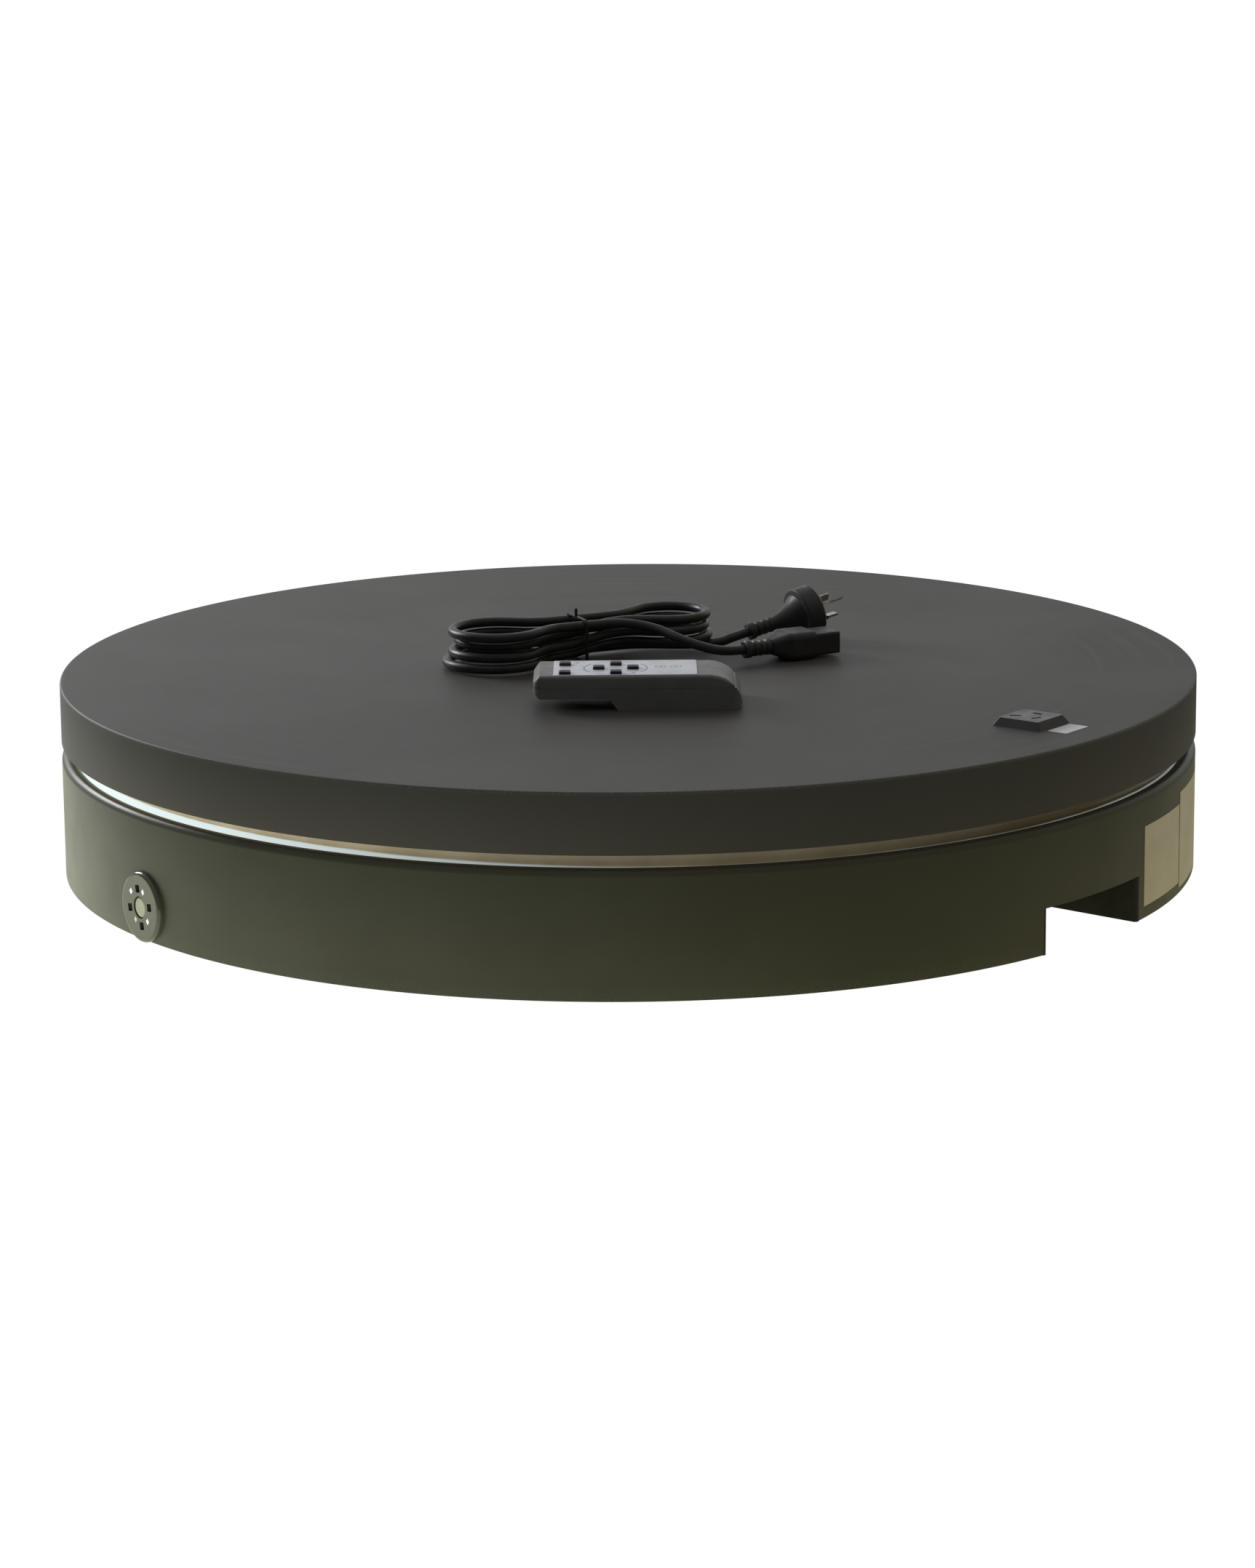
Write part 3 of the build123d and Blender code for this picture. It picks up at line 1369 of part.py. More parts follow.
def make_lead_hank():
    """Tied hank of cord, one unbroken tube in four layers."""
    path = hank_stretches()
    with BuildPart() as lead_hank:
        with BuildLine() as route:
            path_edges(path)
        start = Vector(*path[0][0])
        with BuildSketch(Plane(origin=start, z_dir=Vector(*path[0][1]) - start)):
            Circle(cord_radius)
        sweep()
    check_hank([Line(*s, mode=Mode.PRIVATE) if len(s) == 2 else ThreePointArc(*s, mode=Mode.PRIVATE) for s in path])
    length = sum(edge.length for edge in route.edges())
    print(f"hank: volume {lead_hank.part.volume:.0f}, section times length {pi * cord_radius ** 2 * length:.0f}")
    return lead_hank.part


plug_route = (
    (waist_half + cord_diameter, waist_back, layer_height(0)),
    (46.0, 9.0, 4.9),
    (76.0, -9.5, 4.9),
    (99.0, -15.6, 4.9),
    (111.0, -16.2, 8.5),
    (123.0, -15.3, 10.9),
)
connector_route = (
    (hank_exit_x, waist_front[-1], layer_height(3)),
    (18.5, -16.6, 27.1),
    (33.5, -23.6, 25.8),
    (44.6, -35.9, 23.0),
    (51.4, -51.1, 19.0),
    (62.5, -63.4, 14.4),
    (77.5, -70.4, 10.3),
    (94.1, -69.2, 10.3),
)


def route_points(route):
    """Route of a free stretch of the lead, in the object's frame."""
    return [Vector(*hank_point(*point)) for point in route]


def make_free_cord(route, name):
    """Free stretch of the lead: straight runs joined by arcs as large as the runs allow."""
    points = route_points(route)
    runs = [(b - a) for a, b in zip(points, points[1:])]
    radii = [0.45 * min(a.length, b.length) / tan(radians(a.get_angle(b) / 2)) for a, b in zip(runs, runs[1:])]
    with BuildPart() as free_cord:
        with BuildLine() as line:
            FilletPolyline(*points, radius=radii)
        with BuildSketch(Plane(origin=points[0], z_dir=runs[0])):
            Circle(cord_radius)
        sweep()
    length = sum(edge.length for edge in line.edges())
    volume = pi * cord_radius ** 2 * length
    print(f"{name}: {length:.0f} mm, radii {[round(r) for r in radii]}, volume {free_cord.part.volume:.0f} of {volume:.0f}")
    return free_cord.part


def make_lead_tie():
    """Twist tie round the waist, with its twisted ends standing up."""
    left = min(waist_front) - cord_radius - tie_clearance
    right = waist_back + cord_radius + tie_clearance
    bottom = hank_lift - tie_clearance
    top = layer_height(3) + cord_radius + tie_clearance
    centre = hank_point(tie_x - tie_width / 2, (left + right) / 2, (bottom + top) / 2)
    plane = Plane(origin=centre, x_dir=spot(hank_turn + 90, 1.0), z_dir=spot(hank_turn, 1.0))
    with BuildPart() as lead_tie:
        with BuildSketch(plane):
            RectangleRounded(right - left + 2 * tie_thickness, top - bottom + 2 * tie_thickness, 3.4 + tie_thickness)
            RectangleRounded(right - left, top - bottom, 3.4, mode=Mode.SUBTRACT)
        extrude(amount=tie_width)
        with BuildSketch(Plane(origin=hank_point(tie_x, -2.0, top + tie_thickness / 2))):
            Ellipse(1.1, 1.8)
        extrude(amount=6.0)
    return lead_tie.part


def end_plane(route, side_turn=0.0):
    """Plane at the end of a route that faces along its last run, with y up as nearly as it can be."""
    points = route_points(route)
    way = (points[-1] - points[-2]).normalized()
    across = Vector(0, 0, 1).cross(way).normalized()
    return Plane(origin=points[-1], x_dir=across.rotate(Axis((0, 0, 0), way), side_turn), z_dir=way)


def length_section(plane):
    """Plane that holds a route's end direction as x, for profiles turned about it."""
    return Plane(origin=plane.origin, x_dir=plane.z_dir, z_dir=plane.x_dir)


def ribbed_relief(length, radius, count):
    """Outline points of a strain relief with ribs: (along, radius) pairs that end at length."""
    pitch = (length - 5.0) / count
    points = [(0.0, radius), (0.6, radius + 1.2), (4.4, radius + 1.2), (5.0, radius - 0.4)]
    for rib in range(count):
        start = 5.0 + pitch * rib
        points += [(start + 0.3 * pitch, radius - 0.4), (start + 0.4 * pitch, radius + 0.4),
                   (start + 0.9 * pitch, radius + 0.4), (start + pitch, radius - 0.4)]
    return points


def make_plug_body():
    """Moulded plug: ribbed relief, a neck that flares out and a round flange with two sleeves."""
    plane = end_plane(plug_route, plug_pin_turn)
    flange_start = 42.0
    with BuildPart() as plug_body:
        with BuildSketch(length_section(plane)):
            with BuildLine():
                outline = ribbed_relief(20.0, 5.0, 3)
                Polyline((0, 0), *outline)
                ThreePointArc(outline[-1], (32.0, 8.4), (41.0, 15.0))
                Polyline(
                    (41.0, 15.0), (flange_start, plug_flange_radius - 0.6), (flange_start + 0.8, plug_flange_radius),
                    (plug_length - 1.6, plug_flange_radius), (plug_length, plug_flange_radius - 1.6), (plug_length, 0),
                    (0, 0),
                )
            make_face()
        revolve(axis=Axis(plane.origin, plane.z_dir))
        for x, y, angle in pin_places[:2]:
            with BuildSketch(plane.offset(plug_length)):
                with Locations(Location((x, y), angle)):
                    Rectangle(pin_size[0] + 2 * sleeve_wall, pin_size[1] + 2 * sleeve_wall)
            extrude(amount=sleeve_length)
        for x, y, angle in pin_places:
            with BuildSketch(plane.offset(plug_length - pin_sunk)):
                with Locations(Location((x, y), angle)):
                    Rectangle(pin_size[0] + 2 * press_clearance, pin_size[1] + 2 * press_clearance)
            extrude(amount=2 * pin_long, mode=Mode.SUBTRACT)
    return plug_body.part


def make_plug_pins():
    """Two slanted flat blades and one longer upright blade."""
    plane = end_plane(plug_route, plug_pin_turn)
    with BuildPart() as plug_pins:
        for (x, y, angle), length in zip(pin_places, (pin_short, pin_short, pin_long)):
            with BuildSketch(plane.offset(plug_length - pin_sunk)):
                with Locations(Location((x, y), angle)):
                    Rectangle(*pin_size)
            extrude(amount=pin_sunk + length)
    return plug_pins.part


def make_connector_body():
    """Moulded connector: ribbed relief, a neck, a body and a nose with three slots."""
    plane = end_plane(connector_route)
    with BuildPart() as connector:
        with BuildSketch(length_section(plane)):
            with BuildLine():
                outline = ribbed_relief(20.0, 5.2, 3)
                Polyline((0, 0), *outline, (26.0, 7.5), (26.0, 0), (0, 0))
            make_face()
        revolve(axis=Axis(plane.origin, plane.z_dir))
        with BuildSketch(plane.offset(21.0)):
            RectangleRounded(13.0, 11.0, 4.0)
        with BuildSketch(plane.offset(33.0)):
            RectangleRounded(*connector_body, 5.0)
        loft()
        with BuildSketch(plane.offset(33.0)):
            RectangleRounded(*connector_body, 5.0)
        extrude(amount=19.0)
        with BuildSketch(plane.offset(51.0)):
            RectangleRounded(*connector_nose, 2.0)
        extrude(amount=connector_length - 51.0)
        with BuildSketch(plane.offset(connector_length)):
            with Locations(*inlet_blade_places):
                Rectangle(*connector_slot)
        extrude(amount=-14.0, mode=Mode.SUBTRACT)
    return connector.part


def main():
    os.makedirs("parts", exist_ok=True)
    race_inner = bearing_inner_radius
    race_outer = bearing_outer_radius
    builders = {
        "base_shell": make_base_shell,
        "base_plate": make_base_plate,
        "deck_plate": make_deck_plate,
        "recess_pocket": make_recess_pocket,
        "inlet_body": make_inlet_body,
        "inlet_pins": make_inlet_pins,
        "sensor_bezel": make_sensor_bezel,
        "sensor_lens": make_sensor_lens,
        "sensor_board": make_sensor_board,
        "gap_ring": make_gap_ring,
        "feet": make_feet,
        "case_screws": make_case_screws,
        "bearing_housing": make_bearing_housing,
        "bearing_outer_race": lambda: make_race(race_outer - race_thickness, race_outer, pitch_radius),
        "bearing_inner_race": lambda: make_race(race_inner, race_inner + race_thickness, pitch_radius),
        "bearing_cage": make_bearing_cage,
        "bearing_balls": make_bearing_balls,
        "slip_ring_stator": make_slip_ring_stator,
        "slip_ring_rotor": make_slip_ring_rotor,
        "ring_gear": make_ring_gear,
        "drive_pinion": make_drive_pinion,
        "gear_motor": make_gear_motor,
        "roller_brackets": make_roller_brackets,
        "roller_axles": make_roller_axles,
        "power_supply": make_power_supply,
        "control_board": make_control_board,
        "wiring_harness": make_wiring_harness,
        "base_labels": make_base_labels,
        "platter_cover": make_platter_cover,
        "platter_core": make_platter_core,
        "roller_track": make_roller_track,
        "platter_hub": make_platter_hub,
        "hub_bolts": make_hub_bolts,
        "outlet_body": make_outlet_body,
        "outlet_contacts": make_outlet_contacts,
        "platter_wires": make_platter_wires,
        "socket_label": make_socket_label,
        "remote_upper_case": make_remote_upper_case,
        "remote_lower_case": make_remote_lower_case,
        "remote_faceplate": make_remote_faceplate,
        "remote_board": make_remote_board,
        "remote_battery_door": make_remote_battery_door,
        "remote_batteries": make_remote_batteries,
        "lead_hank": make_lead_hank,
        "lead_plug_end": lambda: make_free_cord(plug_route, "plug end"),
        "lead_connector_end": lambda: make_free_cord(connector_route, "connector end"),
        "lead_tie": make_lead_tie,
        "plug_body": make_plug_body,
        "plug_pins": make_plug_pins,
        "connector_body": make_connector_body,
    }
    for label, build in builders.items():
        keep(build(), label)
    for number in range(roller_count):
        keep(make_roller_wheel(roller_first_azimuth + 360 / roller_count * number), f"roller_wheel_{number + 1}")
    for number, place in enumerate(button_places, 1):
        keep(make_remote_button(place), f"remote_button_{number}")


main()
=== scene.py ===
"""Looks of the motorised display turntable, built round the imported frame."""

import json
import logging
import math
from dataclasses import dataclass
from enum import Enum
from typing import Any, Sequence, Union

import bmesh
import bpy
import numpy as np
from mathutils import Matrix, Vector

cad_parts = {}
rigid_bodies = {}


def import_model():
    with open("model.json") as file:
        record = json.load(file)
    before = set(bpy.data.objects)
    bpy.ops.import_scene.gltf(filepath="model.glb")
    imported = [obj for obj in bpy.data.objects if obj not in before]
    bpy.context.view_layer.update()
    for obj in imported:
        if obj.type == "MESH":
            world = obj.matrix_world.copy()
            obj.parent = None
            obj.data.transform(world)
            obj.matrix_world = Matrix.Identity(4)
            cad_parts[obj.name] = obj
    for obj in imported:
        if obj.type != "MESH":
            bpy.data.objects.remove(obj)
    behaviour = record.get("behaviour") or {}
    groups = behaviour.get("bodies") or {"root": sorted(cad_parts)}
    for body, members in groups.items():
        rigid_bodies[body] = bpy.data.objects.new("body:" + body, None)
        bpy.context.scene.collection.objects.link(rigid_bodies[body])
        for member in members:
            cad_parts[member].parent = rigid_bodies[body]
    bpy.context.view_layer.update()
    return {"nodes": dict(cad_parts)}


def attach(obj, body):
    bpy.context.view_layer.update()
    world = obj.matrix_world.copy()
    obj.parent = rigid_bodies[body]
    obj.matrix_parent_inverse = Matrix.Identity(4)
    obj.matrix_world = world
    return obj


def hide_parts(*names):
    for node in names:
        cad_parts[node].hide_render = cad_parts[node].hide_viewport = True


MM = 0.001
TOP = 138.0
log = logging.getLogger("turntable")
Triple = tuple[float, float, float]
Colour = Triple
Span = tuple[float, float]
WHITE: Colour = (1.0, 1.0, 1.0)
DARK: Colour = (0.0, 0.0, 0.0)


def srgb(red: float, green: float, blue: float) -> Colour:
    """Turns a display colour of 0 to 255 into the linear values that shaders use.

    Args:
        red: red part.
        green: green part.
        blue: blue part.

    Returns:
        The linear colour.
    """
    parts = [value / 255.0 for value in (red, green, blue)]
    return tuple(p / 12.92 if p <= 0.04045 else ((p + 0.055) / 1.055) ** 2.4 for p in parts)


class Facing(Enum):
    """Sides of the light dome, each as the number of its axis and its sign along it."""

    LEFT = (0, -1.0)
    RIGHT = (0, 1.0)
    FRONT = (1, -1.0)
    BACK = (1, 1.0)
    ABOVE = (2, 1.0)


class HankEnd(Enum):
    """End of the tied hank at which a loop lies; the value is its sign along the hank."""

    LEFT = -1
    RIGHT = 1


class Wire:
    """One shader value that takes part in ordinary arithmetic."""

    def __init__(self, graph: "Graph", socket: bpy.types.NodeSocket) -> None:
        """Wraps an output socket."""
        self.graph = graph
        self.socket = socket

    def _with(self, operation: str, first: Any, second: Any = None) -> "Wire":
        """Adds one Math node and returns its result."""
        values = {0: first} if second is None else {0: first, 1: second}
        return self.graph.add("ShaderNodeMath", {"operation": operation}, values)

    def __add__(self, other: Any) -> "Wire":
        """self + other."""
        return self._with("ADD", self, other)

    __radd__ = __add__

    def __sub__(self, other: Any) -> "Wire":
        """self - other."""
        return self._with("SUBTRACT", self, other)

    def __rsub__(self, other: Any) -> "Wire":
        """other - self."""
        return self._with("SUBTRACT", other, self)

    def __mul__(self, other: Any) -> "Wire":
        """self * other."""
        return self._with("MULTIPLY", self, other)

    __rmul__ = __mul__

    def __abs__(self) -> "Wire":
        """Size of self without its sign."""
        return self._with("ABSOLUTE", self)

    def __pow__(self, other: Any) -> "Wire":
        """self to a power."""
        return self._with("POWER", self, other)

    def most(self, other: Any) -> "Wire":
        """The higher of two values."""
        return self._with("MAXIMUM", self, other)

    def ramp(self, low: Any, high: Any, bottom: float = 0.0, top: float = 1.0) -> "Wire":
        """Maps low..high smoothly to bottom..top.

        Args:
            low: input that gives bottom.
            high: input that gives top.
            bottom: result at and below low.
            top: result at and above high.

        Returns:
            The mapped value.
        """
        settings = {"interpolation_type": "SMOOTHSTEP", "clamp": True}
        values = {"Value": self, "From Min": low, "From Max": high, "To Min": bottom, "To Max": top}
        return self.graph.add("ShaderNodeMapRange", settings, values)

    def fall(self, start: float, end: float) -> "Wire":
        """Falls smoothly from 1 at the first value to 0 at the second."""
        return self.ramp(start, end, 1.0, 0.0)


class Graph:
    """Builder of the nodes of one tree."""

    def __init__(self, tree: bpy.types.NodeTree) -> None:
        """Takes a tree and empties it."""
        self.tree = tree
        self.tree.nodes.clear()

    def make(self, kind: str, settings: dict, values: dict) -> bpy.types.Node:
        """Makes a node: its settings first, and then the values or links of its sockets.

        Args:
            kind: the node's type.
            settings: properties by name.
            values: numbers, colours or wires by socket name or number.

        Returns:
            The node.
        """
        node = self.tree.nodes.new(kind)
        for key, value in settings.items():
            setattr(node, key, value)
        for key, value in values.items():
            self.feed(node.inputs[key], value)
        return node

    def add(self, kind: str, settings: dict, values: dict, output: Union[int, str] = 0) -> Wire:
        """Makes a node and returns one of its outputs as a wire."""
        return Wire(self, self.make(kind, settings, values).outputs[output])

    def feed(self, socket: bpy.types.NodeSocket, value: Any) -> None:
        """Links a wire to a socket, or sets a plain value on it."""
        if isinstance(value, Wire):
            self.tree.links.new(value.socket, socket)
        elif isinstance(value, tuple) and socket.type == "RGBA" and len(value) == 3:
            socket.default_value = (*value, 1.0)
        else:
            socket.default_value = value

    def place(self, scale: Sequence[float] = (1, 1, 1)) -> Wire:
        """Object coordinates for a pattern, stretched along each axis."""
        base = self.add("ShaderNodeTexCoord", {}, {}, "Object")
        return self.add("ShaderNodeMapping", {"vector_type": "POINT"},
                        {"Vector": base, "Scale": tuple(scale)})

    def noise(self, vector: Wire, scale: float, detail: float, rough: float) -> Wire:
        """Soft cloudy noise of about 0 to 1."""
        values = {"Vector": vector, "Scale": scale, "Detail": detail, "Roughness": rough}
        return self.add("ShaderNodeTexNoise", {"noise_dimensions": "3D"}, values, 0)

    def axes(self, vector: Wire) -> tuple[Wire, Wire, Wire]:
        """The three parts of a vector."""
        node = self.make("ShaderNodeSeparateXYZ", {}, {0: vector})
        return tuple(Wire(self, node.outputs[i]) for i in range(3))

    def mix(self, factor: Any, first: Any, second: Any) -> Wire:
        """Blends two colours."""
        node = self.make("ShaderNodeMix", {"data_type": "RGBA"}, {0: factor, 6: first, 7: second})
        return Wire(self, node.outputs[2])

    def blend_add(self, base: Any, colour: Any, amount: Wire) -> Wire:
        """Adds a colour to another, scaled by an amount."""
        scaled = self.add("ShaderNodeVectorMath", {"operation": "SCALE"},
                          {0: colour, "Scale": amount})
        return self.add("ShaderNodeVectorMath", {"operation": "ADD"}, {0: base, 1: scaled})


class Shading(Graph):
    """Node tree of one material, with a Principled shader at its end."""

    def __init__(self, name: str) -> None:
        """Makes an empty material with its shader and output."""
        self.material = bpy.data.materials.new(name)
        self.material.use_nodes = True
        super().__init__(self.material.node_tree)
        self.output = self.tree.nodes.new("ShaderNodeOutputMaterial")
        self.shader = self.tree.nodes.new("ShaderNodeBsdfPrincipled")
        self.tree.links.new(self.shader.outputs[0], self.output.inputs[0])

    def set(self, **values: Any) -> None:
        """Sets or links sockets of the Principled shader, with _ for a space in a name."""
        for key, value in values.items():
            self.feed(self.shader.inputs[key.replace("_", " ")], value)

    def bump(self, height: Wire, strength: float, distance: float) -> None:
        """Feeds a height through a Bump node into the shader's normal."""
        values = {"Strength": strength, "Distance": distance, "Height": height}
        self.set(Normal=self.add("ShaderNodeBump", {}, values))

    def glow(self, colour: Any, power: Wire) -> None:
        """Paints light onto the surface as a glow: a colour given off, scaled by a power that may
        change over it.
        """
        self.set(Emission_Color=self.blend_add(DARK, colour, power), Emission_Strength=1.0)


@dataclass(frozen=True)
class Finish:
    """A surface finish: a base colour that drifts to a second one, a grain and a sheen."""

    name: str
    base: Colour
    drift: Colour
    roughness: Span = (0.45, 0.55)
    metallic: float = 0.0
    cloud: float = 12.0
    grain: float = 900.0
    relief: float = 0.15
    depth: float = 0.00008
    stretch: Triple = (1.0, 1.0, 1.0)
    coat: float = 0.0
    specular: float = 0.5

    def build(self) -> Shading:
        """Makes the material: clouds drive the colour and sheen, and the grain the relief.

        Returns:
            The material's graph.
        """
        graph = Shading(self.name)
        _, cloud, grain = self.patterns(graph)
        blend = (cloud * 0.75 + grain * 0.25).ramp(0.32, 0.68)
        self.paint(graph, graph.mix(blend, self.base, self.drift), cloud, grain)
        return graph

    def patterns(self, graph: Shading, detail: float = 4.0, rough: float = 0.6,
                 fine: float = 0.5) -> tuple[Wire, Wire, Wire]:
        """The coordinates of the finish, with its clouds and its grain.

        Args:
            graph: where the nodes go.
            detail: octaves of the clouds.
            rough: roughness of the clouds.
            fine: roughness of the grain.

        Returns:
            The coordinates, the clouds and the grain.
        """
        spot = graph.place(self.stretch)
        cloud = graph.noise(spot, self.cloud, detail, rough)
        return spot, cloud, graph.noise(spot, self.grain, 2.0, fine)

    def paint(self, graph: Shading, colour: Wire, cloud: Wire, grain: Wire) -> None:
        """Feeds the shader from the finish's patterns."""
        low, high = self.roughness
        graph.set(Base_Color=colour, Roughness=cloud.ramp(0.3, 0.7, low, high),
                  Metallic=self.metallic, Coat_Weight=self.coat, Specular_IOR_Level=self.specular)
        graph.bump(grain, self.relief, self.depth)


@dataclass(frozen=True)
class TopPaint(Finish):
    """Paint of the platter: fine texture, hazy smears along the turn, dust and a rubbed rim."""

    haze: Colour = (0.11, 0.11, 0.105)
    haze_share: float = 0.07
    haze_sheen: float = 0.05
    dust: Colour = srgb(170, 168, 160)
    dust_share: float = 0.12
    top_face: Span = (0.1372, 0.138)
    rubbed: Colour = srgb(150, 148, 140)
    rubbed_share: float = 0.35
    rim_reach: Span = (0.3985, 0.3996)
    rim_height: Span = (0.1355, 0.1372)

    def build(self) -> Shading:
        """Makes the platter's paint.

        Returns:
            The material's graph.
        """
        graph = Shading(self.name)
        spot, cloud, fine = self.patterns(graph, 5.0, 0.62, 0.55)
        x, y, z = graph.axes(spot)
        reach = (x * x + y * y) ** 0.5
        outwards = graph.add("ShaderNodeCombineXYZ", {}, {0: reach * 60.0, 1: z})
        smear = (graph.noise(outwards, 4.0, 3.0, 0.7) * cloud).ramp(0.3, 0.42)
        specks = graph.noise(spot, 2600.0, 1.0, 0.5).ramp(0.7, 0.8) * z.ramp(*self.top_face)
        rim = reach.ramp(*self.rim_reach) * z.ramp(*self.rim_height) * fine.ramp(0.35, 0.6)
        colour = graph.mix(cloud.ramp(0.3, 0.7), self.base, self.drift)
        colour = graph.mix(smear * self.haze_share, colour, self.haze)
        colour = graph.mix(specks * self.dust_share, colour, self.dust)
        colour = graph.mix(rim * self.rubbed_share, colour, self.rubbed)
        rough = cloud.ramp(0.3, 0.7, *self.roughness) - smear * self.haze_sheen
        graph.set(Base_Color=colour, Roughness=rough, Specular_IOR_Level=self.specular)
        graph.bump(fine, self.relief, self.depth)
        return graph


@dataclass(frozen=True)
class SkirtPaint(Finish):
    """Paint of the base: paler in patches towards its foot, with faint upright scuffs and a rubbed
    upper lip.
    """

    pale_tone: Colour = (0.2, 0.2, 0.17)
    lighten_share: float = 0.3
    scuff_share: float = 0.18
    foot: Span = (0.001, 0.014)
    lip: Span = (0.0855, 0.0875)

    def build(self) -> Shading:
        """Makes the base's paint.

        Returns:
            The material's graph.
        """
        graph = Shading(self.name)
        spot, cloud, fine = self.patterns(graph, 5.0)
        _, _, z = graph.axes(spot)
        streak = graph.noise(graph.place((1, 1, 0.06)), 90.0, 4.0, 0.7)
        colour = graph.mix(cloud.ramp(0.3, 0.7), self.base, self.drift)
        # Paler in patches towards the foot.
        paler_foot = z.fall(*self.foot) * fine.ramp(0.42, 0.62)
        colour = graph.mix(paler_foot * self.lighten_share, colour, self.pale_tone)
        scuffs = streak.ramp(0.66, 0.74) * cloud.ramp(0.5, 0.6)
        colour = graph.mix(scuffs * self.scuff_share, colour, self.pale_tone)
        worn_lip = z.ramp(*self.lip) * fine.ramp(0.4, 0.6)
        colour = graph.mix(worn_lip * self.lighten_share, colour, self.pale_tone)
        self.paint(graph, colour, cloud, fine)
        return graph


@dataclass(frozen=True)
class RingPaint(Finish):
    """Dust ring: cream paint above, and a pale band of painted light where it flares out above the
    lip, taller on the left.

    Both glow with painted light, most on the left.
    """

    lit_band_colour: Colour = (0.8, 0.92, 0.93)
    band_top: float = 0.0898
    band_fall: float = 0.0031
    band_edge: Span = (-0.0006, 0.0004)
    waviness: float = 0.0006

    def build(self) -> Shading:
        """Makes the ring's paint.

        Returns:
            The material's graph.
        """
        graph = Shading(self.name)
        spot, cloud, fine = self.patterns(graph)
        side, _, z = graph.axes(spot)
        # Painted light: a pale lit band over the flare, taller on the left and thinner to the
        # right.
        limit = side.ramp(-0.3, 0.1, self.band_top, self.band_top - self.band_fall)
        band = (z + (cloud - 0.5) * self.waviness - limit).fall(*self.band_edge)
        cream = graph.mix(cloud.ramp(0.35, 0.65), self.base, self.drift)
        colour = graph.mix(band, cream, self.lit_band_colour)
        # Painted light: the ring glows, the band more than the cream, most on the left.
        left = side.fall(-0.38, 0.0)
        band_glow = left * 0.72 + 0.26
        cream_glow = left * 0.6 + side.ramp(-0.05, 0.3, 0.16, 0.01)
        self.paint(graph, colour, cloud, fine)
        graph.glow(colour, band * band_glow + (1.0 - band) * cream_glow)
        return graph


@dataclass(frozen=True)
class SheetPaper(Finish):
    """Plain paper of the labels: soft clouds and fine fibres."""

    def build(self) -> Shading:
        """Makes the paper.

        Returns:
            The material's graph.
        """
        graph = Shading(self.name)
        cloud = graph.noise(graph.place(), self.cloud, 5.0, 0.65)
        fibre = graph.noise(graph.place((1, 1, 6)), 700.0, 3.0, 0.6)
        colour = graph.mix((cloud * 0.6 + fibre * 0.4).ramp(0.35, 0.65), self.base, self.drift)
        self.paint(graph, colour, cloud, fibre)
        return graph


@dataclass(frozen=True)
class BezelGloss(Finish):
    """Glossy receiver ring with four painted glints between its windows: small pale spots that
    glow, standing in for light caught on clear moulding.

    Each glint is (place across, place upwards, power), seen from outside.
    """

    azimuth: float = -144.0
    height: float = 0.0247
    front_face: Span = (0.4022, 0.4028)
    glint_size: Span = (0.0015, 0.0021)
    glint_colour: Colour = (0.8, 0.9, 0.9)
    glint_glow: Colour = (0.75, 0.88, 0.88)
    painted_glints: Sequence[Triple] = ((-0.0107, 0.0092, 1.0), (0.0046, 0.0112, 0.8),
                                (0.0098, -0.0079, 0.9), (-0.0057, -0.0093, 0.4))

    def paint(self, graph: Shading, colour: Wire, cloud: Wire, grain: Wire) -> None:
        """Feeds the shader, with the painted glints over the ring's colour, and lets them glow."""
        cosine, sine = math.cos(math.radians(self.azimuth)), math.sin(math.radians(self.azimuth))
        x, y, z = graph.axes(graph.place())
        across, up = y * cosine - x * sine, z - self.height
        # Painted highlights: pale spots that also glow, standing in for light caught on the ring.
        glint: Any = 0.0
        for right, above, power in self.painted_glints:
            size = abs(across - right) + abs(up - above) * 0.8
            glint = size.ramp(*self.glint_size, power, 0.0).most(glint)
        glint = glint * (x * cosine + y * sine).ramp(*self.front_face)
        super().paint(graph, graph.mix(glint, colour, self.glint_colour), cloud, grain)
        graph.glow(self.glint_glow, glint)


